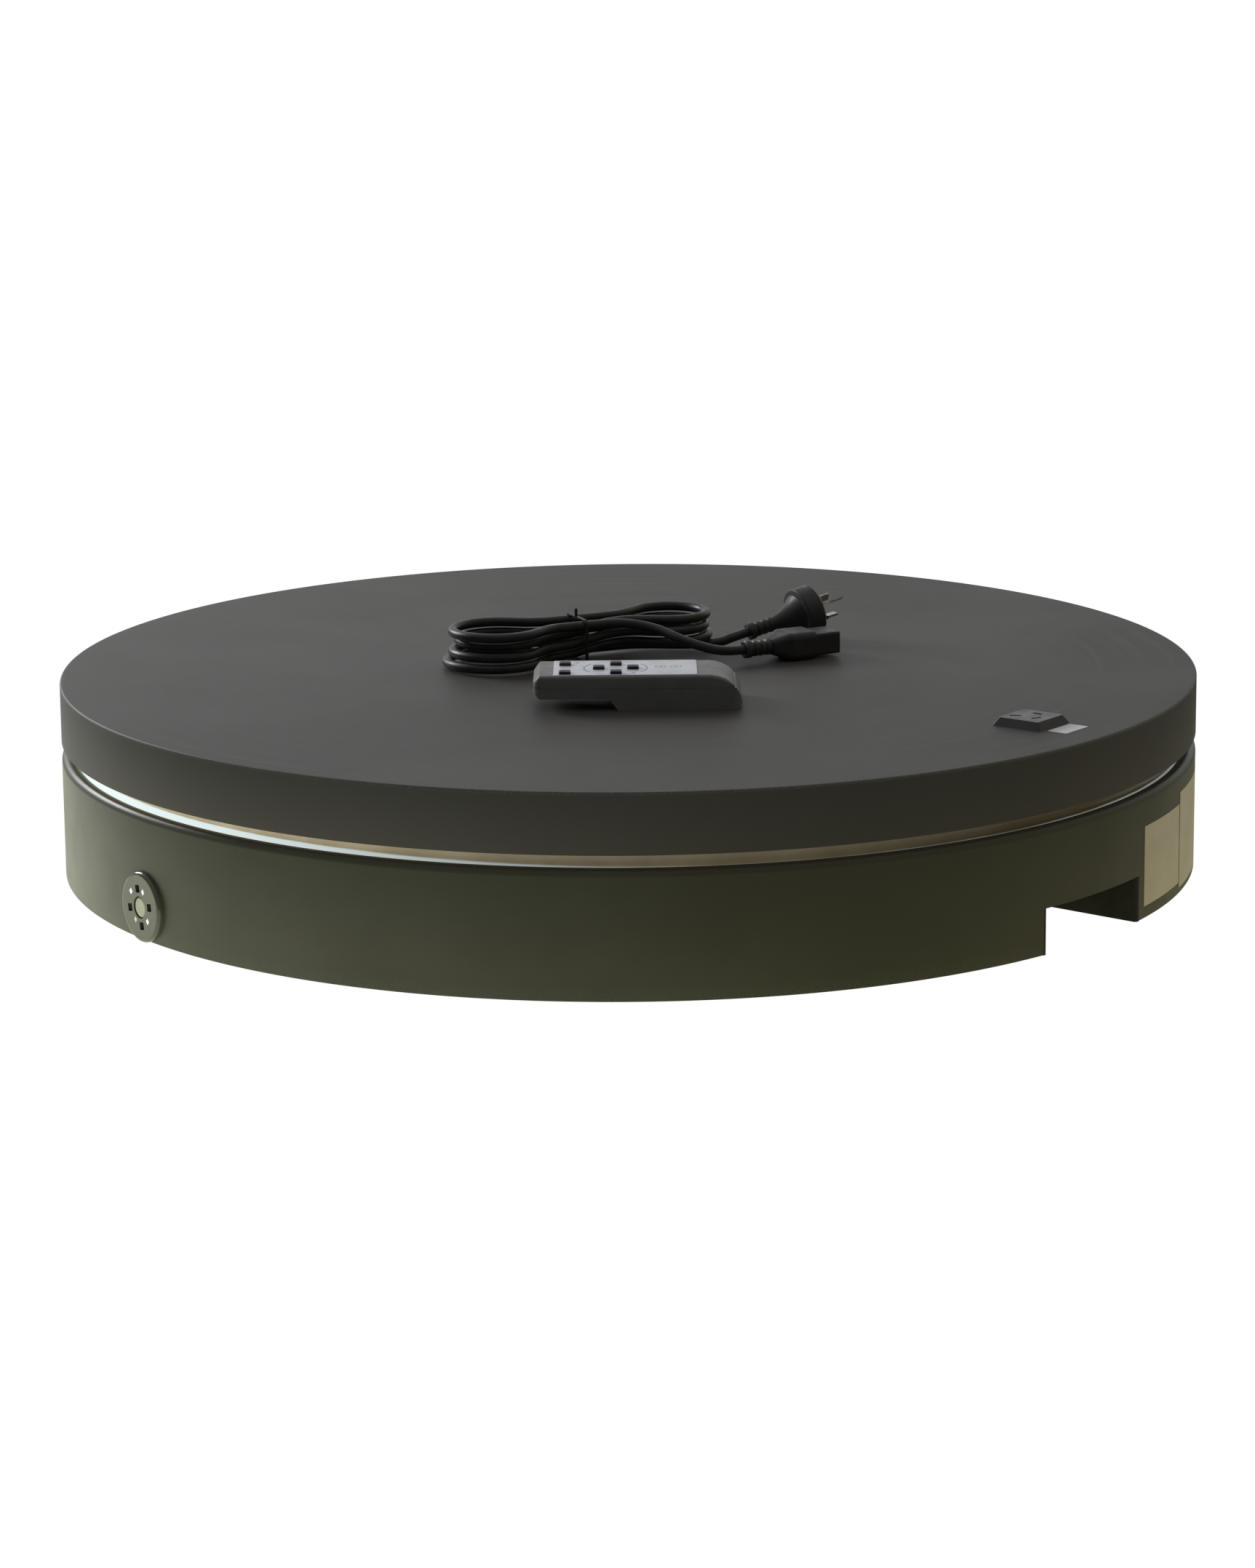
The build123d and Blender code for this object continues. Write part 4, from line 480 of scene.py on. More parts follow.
@dataclass(frozen=True)
class KeyFilm(Finish):
    """Printed film on the remote: blue arcs round the cross keys, three dots and two ringed dots.

    Places and radii are in metres, and a plain dot is (x, y, radius).
    """

    blue: Colour = (0.12, 0.2, 0.5)
    red: Colour = (0.45, 0.13, 0.1)
    grey: Colour = (0.12, 0.13, 0.14)
    centre: Span = (-0.0086, -0.129)
    arc_radius: float = 0.0215
    red_dot: Triple = (-0.0345, -0.1099, 0.0011)
    blue_dots: Sequence[Triple] = ((-0.0314, -0.1225, 0.001), (0.0037, -0.1445, 0.001))
    ringed_dots: Sequence[Span] = ((0.0222, -0.125), (0.0326, -0.125))
    ringed_radius: float = 0.0036
    ink_share: float = 0.85

    def build(self) -> Shading:
        """Makes the film.

        Returns:
            The material's graph.
        """
        graph = Shading(self.name)
        spot, cloud, fine = self.patterns(graph)
        x, y, _ = graph.axes(spot)

        def away(right: float, above: float) -> Wire:
            """Distance from a point of the film."""
            dx, dy = x - right, y - above
            return (dx * dx + dy * dy) ** 0.5

        colour = graph.mix(cloud.ramp(0.35, 0.65), self.base, self.drift)
        ring = abs(away(*self.centre) - self.arc_radius).fall(0.0004, 0.0008)
        gaps = abs(abs(x - self.centre[0]) - abs(y - self.centre[1])).ramp(0.003, 0.0035)
        colour = graph.mix(ring * gaps, colour, self.blue)
        for right, above, size in (self.red_dot, *self.blue_dots):
            ink = self.red if (right, above, size) == self.red_dot else self.blue
            colour = graph.mix(away(right, above).fall(size, size + 0.0003) * self.ink_share,
                               colour, ink)
        for right, above in self.ringed_dots:
            reach = away(right, above)
            circle = abs(reach - self.ringed_radius).fall(0.0003, 0.0007)
            mark = circle.most(reach.fall(0.0012, 0.0016))
            colour = graph.mix(mark * self.ink_share, colour, self.grey)
        self.paint(graph, colour, cloud, fine)
        return graph


PLATTER_PAINT = TopPaint("platter_paint", srgb(88, 87, 85), srgb(84, 83, 81), (0.53, 0.58),
                         cloud=5.0, grain=1400.0, relief=0.25, depth=0.0001, specular=0.35)
BASE_PAINT = SkirtPaint("base_paint", srgb(85, 87, 73), srgb(78, 80, 66), (0.34, 0.44), cloud=7.0,
                        grain=1200.0, relief=0.12, depth=0.0001, specular=0.45)
RING_PAINT = RingPaint("ring_paint", srgb(205, 192, 160), srgb(190, 175, 142), (0.25, 0.38),
                       cloud=20.0, coat=0.3)
PAPER = SheetPaper("label_paper", srgb(178, 168, 138), srgb(162, 152, 122), (0.6, 0.75), cloud=45.0)
LABEL = SheetPaper("skirt_label_paper", srgb(252, 243, 226), srgb(242, 232, 212), (0.55, 0.7),
                   cloud=30.0)
SOCKET_PAPER = SheetPaper("socket_label_paper", srgb(250, 252, 255), srgb(244, 246, 250),
                          (0.5, 0.65), cloud=60.0)
GALVANISED = Finish("galvanised_sheet", srgb(168, 170, 172), srgb(142, 145, 148), (0.35, 0.55),
                    0.85, cloud=60.0, grain=300.0, relief=0.08)
TURNED = Finish("turned_aluminium", srgb(198, 199, 201), srgb(176, 178, 181), (0.24, 0.38), 0.95,
                cloud=30.0, grain=260.0, relief=0.12, stretch=(1.0, 1.0, 14.0))
GROUND = Finish("ground_bearing_steel", srgb(205, 207, 210), srgb(186, 188, 192), (0.12, 0.22), 1.0,
                cloud=60.0, grain=1500.0, relief=0.04)
ZINC = Finish("zinc_screws", srgb(150, 150, 146), srgb(122, 122, 118), (0.3, 0.45), 0.9,
              cloud=160.0, grain=1500.0, relief=0.1)
GEAR_STEEL = Finish("oiled_gear_steel", srgb(120, 120, 120), srgb(92, 91, 88), (0.25, 0.42), 0.9,
                    cloud=50.0, grain=900.0, relief=0.1)
BLACK = Finish("moulded_black_plastic", srgb(38, 38, 40), srgb(30, 30, 32), (0.38, 0.5), cloud=60.0,
               grain=1800.0, relief=0.2)
BEZEL = BezelGloss("receiver_ring_plastic", srgb(96, 98, 84), srgb(86, 88, 75), (0.16, 0.26),
                   cloud=80.0, grain=2200.0, relief=0.03, coat=0.5)
OUTLET = Finish("outlet_plastic", srgb(66, 66, 68), srgb(56, 56, 58), (0.3, 0.42), cloud=80.0,
                grain=2200.0, relief=0.12)
LENS = Finish("receiver_lens", srgb(196, 200, 172), srgb(180, 184, 158), (0.1, 0.18), cloud=90.0,
              grain=2200.0, relief=0.02, coat=0.8)
NYLON = Finish("natural_nylon", srgb(214, 210, 198), srgb(196, 191, 176), (0.35, 0.5), cloud=90.0,
               relief=0.1)
BRASS = Finish("brass_blades", srgb(196, 164, 92), srgb(166, 134, 70), (0.2, 0.36), 1.0,
               cloud=160.0, grain=1200.0, relief=0.08)
PLATED = Finish("plated_pins", srgb(206, 204, 196), srgb(168, 164, 152), (0.16, 0.34), 1.0,
                cloud=240.0, grain=1500.0, relief=0.08, stretch=(1.0, 1.0, 5.0))
BOARD = Finish("circuit_board", srgb(30, 92, 52), srgb(22, 70, 40), (0.25, 0.4), cloud=140.0,
               grain=420.0, relief=0.3, coat=0.3)
FIBREBOARD = Finish("raw_fibreboard", srgb(168, 136, 96), srgb(138, 108, 72), (0.75, 0.9),
                    cloud=30.0, grain=700.0, relief=0.4)
MOTOR = Finish("grey_motor_paint", srgb(104, 106, 108), srgb(88, 90, 92), (0.35, 0.5), 0.2,
               cloud=40.0, relief=0.15)
SUPPLY = Finish("supply_case", srgb(178, 179, 178), srgb(156, 157, 156), (0.35, 0.5), 0.9,
                cloud=40.0, grain=500.0, relief=0.1)
SHEATH = Finish("inner_cable_sheath", srgb(44, 44, 46), srgb(34, 34, 36), (0.4, 0.55), cloud=120.0,
                relief=0.2)
RUBBER = Finish("rubber_pads", srgb(30, 30, 31), srgb(22, 22, 23), (0.65, 0.8), cloud=90.0,
                grain=900.0, relief=0.4)
REMOTE = Finish("remote_case_plastic", srgb(130, 131, 132), srgb(120, 121, 122), (0.42, 0.54),
                cloud=70.0, grain=2400.0, relief=0.3, depth=0.00006)
FILM = KeyFilm("remote_film", srgb(232, 236, 246), srgb(220, 225, 236), (0.3, 0.42), cloud=50.0,
               grain=1800.0, relief=0.04, coat=0.2)
KEY = Finish("key_rubber", srgb(40, 44, 58), srgb(32, 35, 47), (0.4, 0.5), cloud=200.0,
             grain=2400.0, relief=0.15)
CELL = Finish("dry_cell_sleeve", srgb(84, 86, 90), srgb(60, 62, 66), (0.25, 0.4), 0.4, cloud=120.0,
              relief=0.05)
CORD = Finish("cord_sheath", srgb(54, 54, 56), srgb(42, 42, 44), (0.32, 0.44), cloud=130.0,
              grain=1500.0, relief=0.18, specular=0.5)
PLUG = Finish("moulded_plug", srgb(60, 60, 61), srgb(50, 50, 51), (0.34, 0.48), cloud=120.0,
              grain=1900.0, relief=0.25)
TIE = Finish("tie_strip", srgb(34, 34, 35), srgb(26, 26, 27), (0.35, 0.5), cloud=200.0,
             grain=1500.0, relief=0.15)

NODE_FINISH = {
    "base_shell": BASE_PAINT, "base_plate": GALVANISED, "deck_plate": GALVANISED,
    "recess_pocket": BLACK, "inlet_body": BLACK, "inlet_pins": BRASS, "sensor_bezel": BEZEL,
    "sensor_lens": LENS, "sensor_board": BOARD, "gap_ring": RING_PAINT, "feet": RUBBER,
    "case_screws": ZINC, "bearing_housing": TURNED, "bearing_outer_race": GROUND,
    "bearing_inner_race": GROUND, "bearing_cage": GALVANISED, "bearing_balls": GROUND,
    "slip_ring_stator": BLACK, "slip_ring_rotor": TURNED, "ring_gear": GEAR_STEEL,
    "drive_pinion": GEAR_STEEL, "gear_motor": MOTOR, "roller_brackets": GALVANISED,
    "roller_axles": GROUND, "power_supply": SUPPLY, "control_board": BOARD,
    "wiring_harness": SHEATH, "base_labels": PAPER, "platter_cover": PLATTER_PAINT,
    "platter_core": FIBREBOARD, "roller_track": GALVANISED, "platter_hub": TURNED,
    "hub_bolts": ZINC, "outlet_body": OUTLET, "outlet_contacts": BRASS, "platter_wires": SHEATH,
    "socket_label": SOCKET_PAPER, "remote_upper_case": REMOTE, "remote_lower_case": REMOTE,
    "remote_faceplate": FILM, "remote_board": BOARD, "remote_battery_door": REMOTE,
    "remote_batteries": CELL, "lead_hank": CORD, "lead_plug_end": CORD, "lead_connector_end": CORD,
    "lead_tie": TIE, "plug_body": PLUG, "plug_pins": PLATED, "connector_body": PLUG,
    **{f"roller_wheel_{k}": NYLON for k in range(1, 5)},
    **{f"remote_button_{k}": KEY for k in range(1, 7)},
}


class Wardrobe:
    """Makes each finish once and hands it out."""

    def __init__(self) -> None:
        """Starts empty."""
        self.made: dict[str, bpy.types.Material] = {}

    def of(self, finish: Finish) -> bpy.types.Material:
        """The material of a finish.

        Args:
            finish: the finish to dress a piece in.

        Returns:
            The material, made on its first use.
        """
        if finish.name not in self.made:
            self.made[finish.name] = finish.build().material
        return self.made[finish.name]


def grid_faces(rows: int, columns: int, wrap_rows: bool = False,
               wrap_columns: bool = False) -> np.ndarray:
    """Quads of a grid numbered row by row: a point, its right neighbour and the two below.

    Args:
        rows: number of rows.
        columns: number of columns.
        wrap_rows: join the last row to the first.
        wrap_columns: join the last column to the first.

    Returns:
        An array of four point numbers a face.
    """
    i = np.arange(rows if wrap_rows else rows - 1)[:, None]
    j = np.arange(columns if wrap_columns else columns - 1)[None, :]
    down, right = (i + 1) % rows, (j + 1) % columns
    quads = np.stack([i * columns + j, i * columns + right, down * columns + right,
                      down * columns + j], axis=-1)
    return quads.reshape(-1, 4)


def make_piece(name: str, points: np.ndarray, faces: Sequence[Sequence[int]],
               material: bpy.types.Material, sharp: float = 35.0) -> bpy.types.Object:
    """Makes a smooth mesh piece whose place is in its points.

    Args:
        name: the piece's name.
        points: positions in metres.
        faces: point numbers of each face.
        material: what it is dressed in.
        sharp: edges that turn by more than this many degrees stay crisp.

    Returns:
        The object, linked to the scene.
    """
    mesh = bpy.data.meshes.new(name)
    mesh.from_pydata(np.asarray(points, float).tolist(), [],
                     [list(map(int, face)) for face in faces])
    mesh.materials.append(material)
    mesh.validate()
    mesh.update()
    merge_and_turn(mesh)
    mesh.shade_smooth()
    mesh.set_sharp_from_angle(angle=math.radians(sharp))
    piece = bpy.data.objects.new(name, mesh)
    bpy.context.scene.collection.objects.link(piece)
    return piece


def merge_and_turn(mesh: bpy.types.Mesh) -> None:
    """Merges doubled points, drops faces of no area and turns all normals outwards."""
    work = bmesh.new()
    work.from_mesh(mesh)
    bmesh.ops.remove_doubles(work, verts=work.verts, dist=1e-6)
    bmesh.ops.dissolve_degenerate(work, edges=work.edges, dist=1e-7)
    bmesh.ops.recalc_face_normals(work, faces=work.faces)
    work.to_mesh(mesh)
    work.free()


def turned(profile: np.ndarray, segments: int, start: float = 0.0,
           end: float = 360.0) -> tuple[np.ndarray, list]:
    """A closed profile turned about Z: each point (r, z) goes to (r cos t, r sin t, z).

    Args:
        profile: closed outline of (radius, height) points in millimetres, not repeating the first.
        segments: steps round the turn.
        start: first angle in degrees.
        end: last angle; a full turn is joined up, and a part turn is closed with flat ends.

    Returns:
        Points in metres and faces.
    """
    full = end - start >= 359.99
    count = segments if full else segments + 1
    angle = np.radians(np.linspace(start, end, segments + 1)[:count])[:, None]
    radius, height = profile[None, :, 0], profile[None, :, 1]
    points = np.stack([radius * np.cos(angle), radius * np.sin(angle), height + 0.0 * angle],
                      axis=-1)
    faces = grid_faces(count, len(profile), full, True).tolist()
    if not full:
        last = (count - 1) * len(profile)
        faces += [list(range(len(profile))), [last + i for i in range(len(profile))][::-1]]
    return points.reshape(-1, 3) * MM, faces


def arc(centre: Sequence[float], radius: float, start: float, end: float, steps: int) -> np.ndarray:
    """Points on a circle from one angle to another, in degrees."""
    angle = np.radians(np.linspace(start, end, steps))
    return np.stack([centre[0] + radius * np.cos(angle), centre[1] + radius * np.sin(angle)],
                    axis=-1)


def rounded_outline(width: float, depth: float, corner: float, steps: int) -> np.ndarray:
    """Rounded rectangle about the origin: four quarter circles joined by straight sides."""
    x, y = width / 2 - corner, depth / 2 - corner
    parts = [arc((sx * x, sy * y), corner, turn, turn + 90, steps)
             for sx, sy, turn in ((1, 1, 0), (-1, 1, 90), (-1, -1, 180), (1, -1, 270))]
    return np.concatenate(parts)


def stacked(levels: Sequence[np.ndarray]) -> tuple[np.ndarray, list]:
    """A solid skinned over closed outlines of as many points each, with two flat ends.

    Args:
        levels: outlines in order, each of (x, y, z) points in millimetres.

    Returns:
        Points in metres and faces.
    """
    count = len(levels[0])
    faces = grid_faces(len(levels), count, False, True).tolist()
    last = (len(levels) - 1) * count
    faces += [list(range(count)), [last + i for i in range(count)][::-1]]
    return np.concatenate(levels) * MM, faces


@dataclass
class Platter:
    """The turning disc: its cover is one turned skin with a small edge radius."""

    wardrobe: Wardrobe
    radius: float = 400.0
    bottom: float = 97.0
    edge: float = 1.6
    hem: float = 0.5
    sheet: float = 2.5
    top_sheet: float = 3.0
    middle: float = 4.0
    rings: int = 40
    segments: int = 288

    def cover(self) -> bpy.types.Object:
        """Turned cover: a closed outline from the hem round the rim to the middle of the top.

        Returns:
            The piece.
        """
        inner = self.radius - self.sheet
        under = TOP - self.top_sheet
        hem = arc((self.radius - self.hem, self.bottom + self.hem), self.hem, -90, 0, 4)
        rim = arc((self.radius - self.edge, TOP - self.edge), self.edge, 0, 90, 8)
        steps = np.linspace(self.radius - self.edge - 2, self.middle, self.rings)
        face = np.stack([steps, np.full(self.rings, TOP)], axis=-1)
        inside = np.array([[0.0, TOP], [0.0, under], [inner, under], [inner, self.bottom]])
        points, faces = turned(np.concatenate([hem, rim, face, inside]), self.segments)
        piece = make_piece("platter_skin", points, faces, self.wardrobe.of(PLATTER_PAINT))
        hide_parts("platter_cover")
        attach(piece, "platter")
        return piece


@dataclass
class Base:
    """The standing drum: skirt, rolled lip and dust ring."""

    wardrobe: Wardrobe
    radius: float = 400.0
    top: float = 88.0
    lip: float = 5.4
    lip_end: float = 78.0
    sheet: float = 2.5
    bottom: float = 1.5
    toe: float = 0.8
    flange: float = 15.0
    notch_azimuth: float = -39.35
    notch_height: float = 33.0
    notch_half_width: float = 56.5
    ring_clearance: float = 0.3
    ring_wall: float = 2.0
    ring_flare: float = 2.5
    flare_heights: Span = (86.5, 91.0)
    foot_heights: Span = (80.0, 82.0)
    foot_width: float = 15.0
    ring_top: float = 103.0
    papers: Sequence[tuple[float, float, float, float]] = ((-30.2, -19.9, 10.0, 65.5),
                                                           (-19.6, -9.4, 6.0, 73.4))
    paper_back: float = 0.04
    paper_front: float = 0.26
    paper_grid: tuple[int, int] = (12, 28)
    segments: int = 288

    def skirt(self) -> list[bpy.types.Object]:
        """Skirt in two parts: a full ring above the recess, and one below with a gap for it.

        Returns:
            The pieces.
        """
        centre = (self.radius - self.lip, self.top - self.lip)
        inner, rolled = self.radius - self.sheet, self.radius - 2 * self.lip
        outside = arc(centre, self.lip, 0, 180, 20)
        inside = arc(centre, self.lip - self.sheet, 180, 0, 14)
        leg = np.array([[rolled, self.lip_end], [rolled + self.sheet, self.lip_end]])
        low = np.array([[inner, self.notch_height], [self.radius, self.notch_height]])
        points, faces = turned(np.concatenate([outside, leg, inside, low]), self.segments)
        ring = make_piece("skirt_upper", points, faces, self.wardrobe.of(BASE_PAINT))
        half = math.degrees(math.asin(self.notch_half_width / self.radius))
        toe = arc((self.radius - self.toe, self.bottom + self.toe), self.toe, -90, 0, 5)
        hem, floor = self.radius - self.flange, self.bottom + self.sheet
        flange = np.array([[self.radius, self.notch_height], [inner, self.notch_height],
                           [inner, floor], [hem, floor], [hem, self.bottom]])
        start = self.notch_azimuth + half
        points, faces = turned(np.concatenate([toe, flange]), self.segments, start,
                               start + 360 - 2 * half)
        lower = make_piece("skirt_lower", points, faces, self.wardrobe.of(BASE_PAINT))
        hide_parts("base_shell")
        for piece in (ring, lower):
            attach(piece, "base")
        return [ring, lower]

    def dust_ring(self) -> bpy.types.Object:
        """Ring in the gap: a wall that flares out in a cove towards the lip, over a flat foot.

        The cove is an arc that is upright at its top and ends at the foot's outer edge: its radius
        is (h * h + b * b) / (2 * b) for a height h and a flare b.

        Returns:
            The piece.
        """
        outer = self.radius - 2 * self.lip - self.ring_clearance
        inner, heel, neck = outer - self.ring_wall, outer - self.foot_width, outer - self.ring_flare
        (low, high), (foot, sole) = self.flare_heights, self.foot_heights
        cove = ((high - low) ** 2 + self.ring_flare ** 2) / (2 * self.ring_flare)
        reach = math.degrees(math.asin((high - low) / cove))
        curve = arc((neck + cove, high), cove, 180, 180 + reach, 10)
        back, crest = neck - self.ring_wall, self.ring_top
        rest = np.array([[outer, foot], [heel, foot], [heel, sole], [inner, sole],
                         [inner, low - 0.5], [back, high], [back, crest], [neck, crest]])
        points, faces = turned(np.concatenate([curve, rest]), self.segments)
        piece = make_piece("dust_ring", points, faces, self.wardrobe.of(RING_PAINT))
        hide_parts("gap_ring")
        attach(piece, "base")
        return piece

    def labels(self) -> list[bpy.types.Object]:
        """Paper labels: patches of the cylinder, (r cos t, r sin t, z), with front, back and rim.

        Returns:
            The pieces.
        """
        made = []
        rows, columns = self.paper_grid
        for number, (start, end, low, high) in enumerate(self.papers, 1):
            t = np.radians(np.linspace(start, end, columns))[None, :]
            z = np.linspace(low, high, rows)[:, None]
            skins = []
            for r in (self.radius + self.paper_front, self.radius + self.paper_back):
                skin = np.stack([r * np.cos(t) + 0 * z, r * np.sin(t) + 0 * z, z + 0 * t], axis=-1)
                skins.append(skin.reshape(-1, 3))
            front = grid_faces(rows, columns)
            back = front[:, ::-1] + rows * columns
            rim = np.concatenate([np.arange(columns), np.arange(1, rows) * columns + columns - 1,
                                  (rows - 1) * columns + np.arange(columns - 2, -1, -1),
                                  np.arange(rows - 2, 0, -1) * columns])
            after = np.roll(rim, -1)
            side = np.stack([rim, after, after + rows * columns, rim + rows * columns], axis=-1)
            faces = np.concatenate([front, back, side])
            piece = make_piece(f"skirt_label_{number}", np.concatenate(skins) * MM, faces,
                               self.wardrobe.of(LABEL))
            if number == 1:
                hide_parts("base_labels")
            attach(piece, "base")
            made.append(piece)
        return made


@dataclass
class Remote:
    """Small remote control: the upper half of its case, its film and its six keys.

    Rises are outlines in order, each as (inset, corner radius, height above the platter).
    """

    wardrobe: Wardrobe
    left: float = -64.5
    centre_y: float = -127.0
    length: float = 142.0
    width: float = 54.0
    height: float = 24.0
    seam: float = 15.0
    corner: float = 7.0
    chamfer: Span = (4.0, 5.0)
    fall_start: float = 118.0
    end_height: float = 3.0
    top_edge: float = 2.4
    film_middle: float = 62.5
    film_size: Span = (97.6, 49.6)
    film_rise: Sequence[Triple] = ((0.0, 1.6, 23.6), (0.0, 1.6, 24.2), (0.15, 1.45, 24.32),
                                   (0.4, 1.2, 24.36))
    keys: Sequence[Span] = ((21.5, 10.5), (21.5, -19.0), (44.5, -3.0), (56.2, 10.5), (67.8, -3.0),
                            (56.2, -18.5))
    key_size: Span = (8.0, 8.0)
    key_rise: Sequence[Triple] = ((0.0, 1.1, 19.0), (0.0, 1.1, 25.5), (0.12, 1.064, 25.95),
                                  (0.45, 0.965, 26.25), (0.95, 0.815, 26.38), (2.6, 0.32, 26.48))

    def top_line(self, x: np.ndarray) -> np.ndarray:
        """Height of the top along the remote: a chamfer, a flat and a round fall at the right.

        The fall is nearly a quarter ellipse: the root of 1 - t ** 2.1, with t from 0 to 1 along it.
        """
        run, drop = self.chamfer
        chamfer = self.height - drop + np.clip(x / run, 0, 1) * drop
        t = np.clip((x - self.fall_start) / (self.length - self.fall_start), 0, 1)
        root = np.sqrt(np.clip(1 - t ** 2.1, 0, 1))
        return np.minimum(chamfer, self.end_height + (self.height - self.end_height) * root)

    def half_width(self, x: np.ndarray) -> np.ndarray:
        """Half the width along the remote, drawn in at both ends by the plan's corner circles."""
        near = np.clip(np.minimum(x, self.length - x), 0, self.corner)
        square = self.corner ** 2 - (self.corner - near) ** 2
        return self.width / 2 - self.corner + np.sqrt(np.clip(square, 0, None))

    def upper_half(self) -> bpy.types.Object:
        """Upper case half, skinned over cross sections along the remote, and closed below.

        Each section is a flat side, a quarter round edge and a flat face. It stops at the seam with
        a small inward step. The lower half keeps its CAD piece, in whose opening the door slides.

        Returns:
            The piece.
        """
        t = np.linspace(0, 1, 15) ** 2
        ends = np.concatenate([self.corner * t, np.linspace(self.corner + 1, self.length - 24, 40),
                               self.length - 23.5 + 23.5 * np.sin(np.linspace(0, np.pi / 2, 26))])
        high = self.top_line(ends)
        ends, high = ends[high > self.seam + 0.6], high[high > self.seam + 0.6]
        low = np.full(len(ends), self.seam + 0.04)
        half = self.half_width(ends)
        edge = np.minimum(self.top_edge, (high - low) * 0.45)
        levels = []
        for x, z0, z1, w, e in zip(ends, low, high, half, edge):
            step = np.array([[w - 0.15, z0], [w - 0.02, z0 + 0.15]])
            right = np.concatenate([step, arc((w - e, z1 - e), e, 0, 90, 7)])
            outline = np.concatenate([right, right[::-1] * [-1, 1]]) + (self.centre_y, TOP)
            levels.append(np.column_stack([np.full(len(outline), self.left + x), outline]))
        upper = make_piece("remote_top_half", *stacked(levels), self.wardrobe.of(REMOTE), 40.0)
        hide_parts("remote_upper_case")
        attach(upper, "remote")
        return upper

    def raised(self, middle: Span, size: Span, rise: Sequence[Triple],
               steps: int) -> tuple[np.ndarray, list]:
        """A plate skinned over rounded rectangles.

        Args:
            middle: its middle, from the left end and from the remote's middle line.
            size: width and depth.
            rise: its outlines in order, each as (inset, corner radius, height).
            steps: points on each corner.

        Returns:
            Points in metres and faces.
        """
        levels = []
        for inset, corner, height in rise:
            outline = rounded_outline(size[0] - 2 * inset, size[1] - 2 * inset, corner, steps)
            flat = outline + (self.left + middle[0], self.centre_y + middle[1])
            levels.append(np.column_stack([flat, np.full(len(flat), TOP + height)]))
        return stacked(levels)

    def film(self) -> bpy.types.Object:
        """Printed film: a rounded rectangle with a bevelled edge, just proud of the case.

        Returns:
            The piece.
        """
        skin = self.raised((self.film_middle, 0.0), self.film_size, self.film_rise, 6)
        piece = make_piece("remote_film_plate", *skin, self.wardrobe.of(FILM), 60.0)
        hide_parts("remote_faceplate")
        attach(piece, "remote")
        return piece

    def buttons(self) -> list[bpy.types.Object]:
        """Six square keys with soft edges and a slightly crowned top.

        Returns:
            The pieces.
        """
        made = []
        for number, place in enumerate(self.keys, 1):
            skin = self.raised(place, self.key_size, self.key_rise, 5)
            piece = make_piece(f"key_{number}", *skin, self.wardrobe.of(KEY), 50.0)
            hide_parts(f"remote_button_{number}")
            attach(piece, f"button_{number}")
            made.append(piece)
        return made


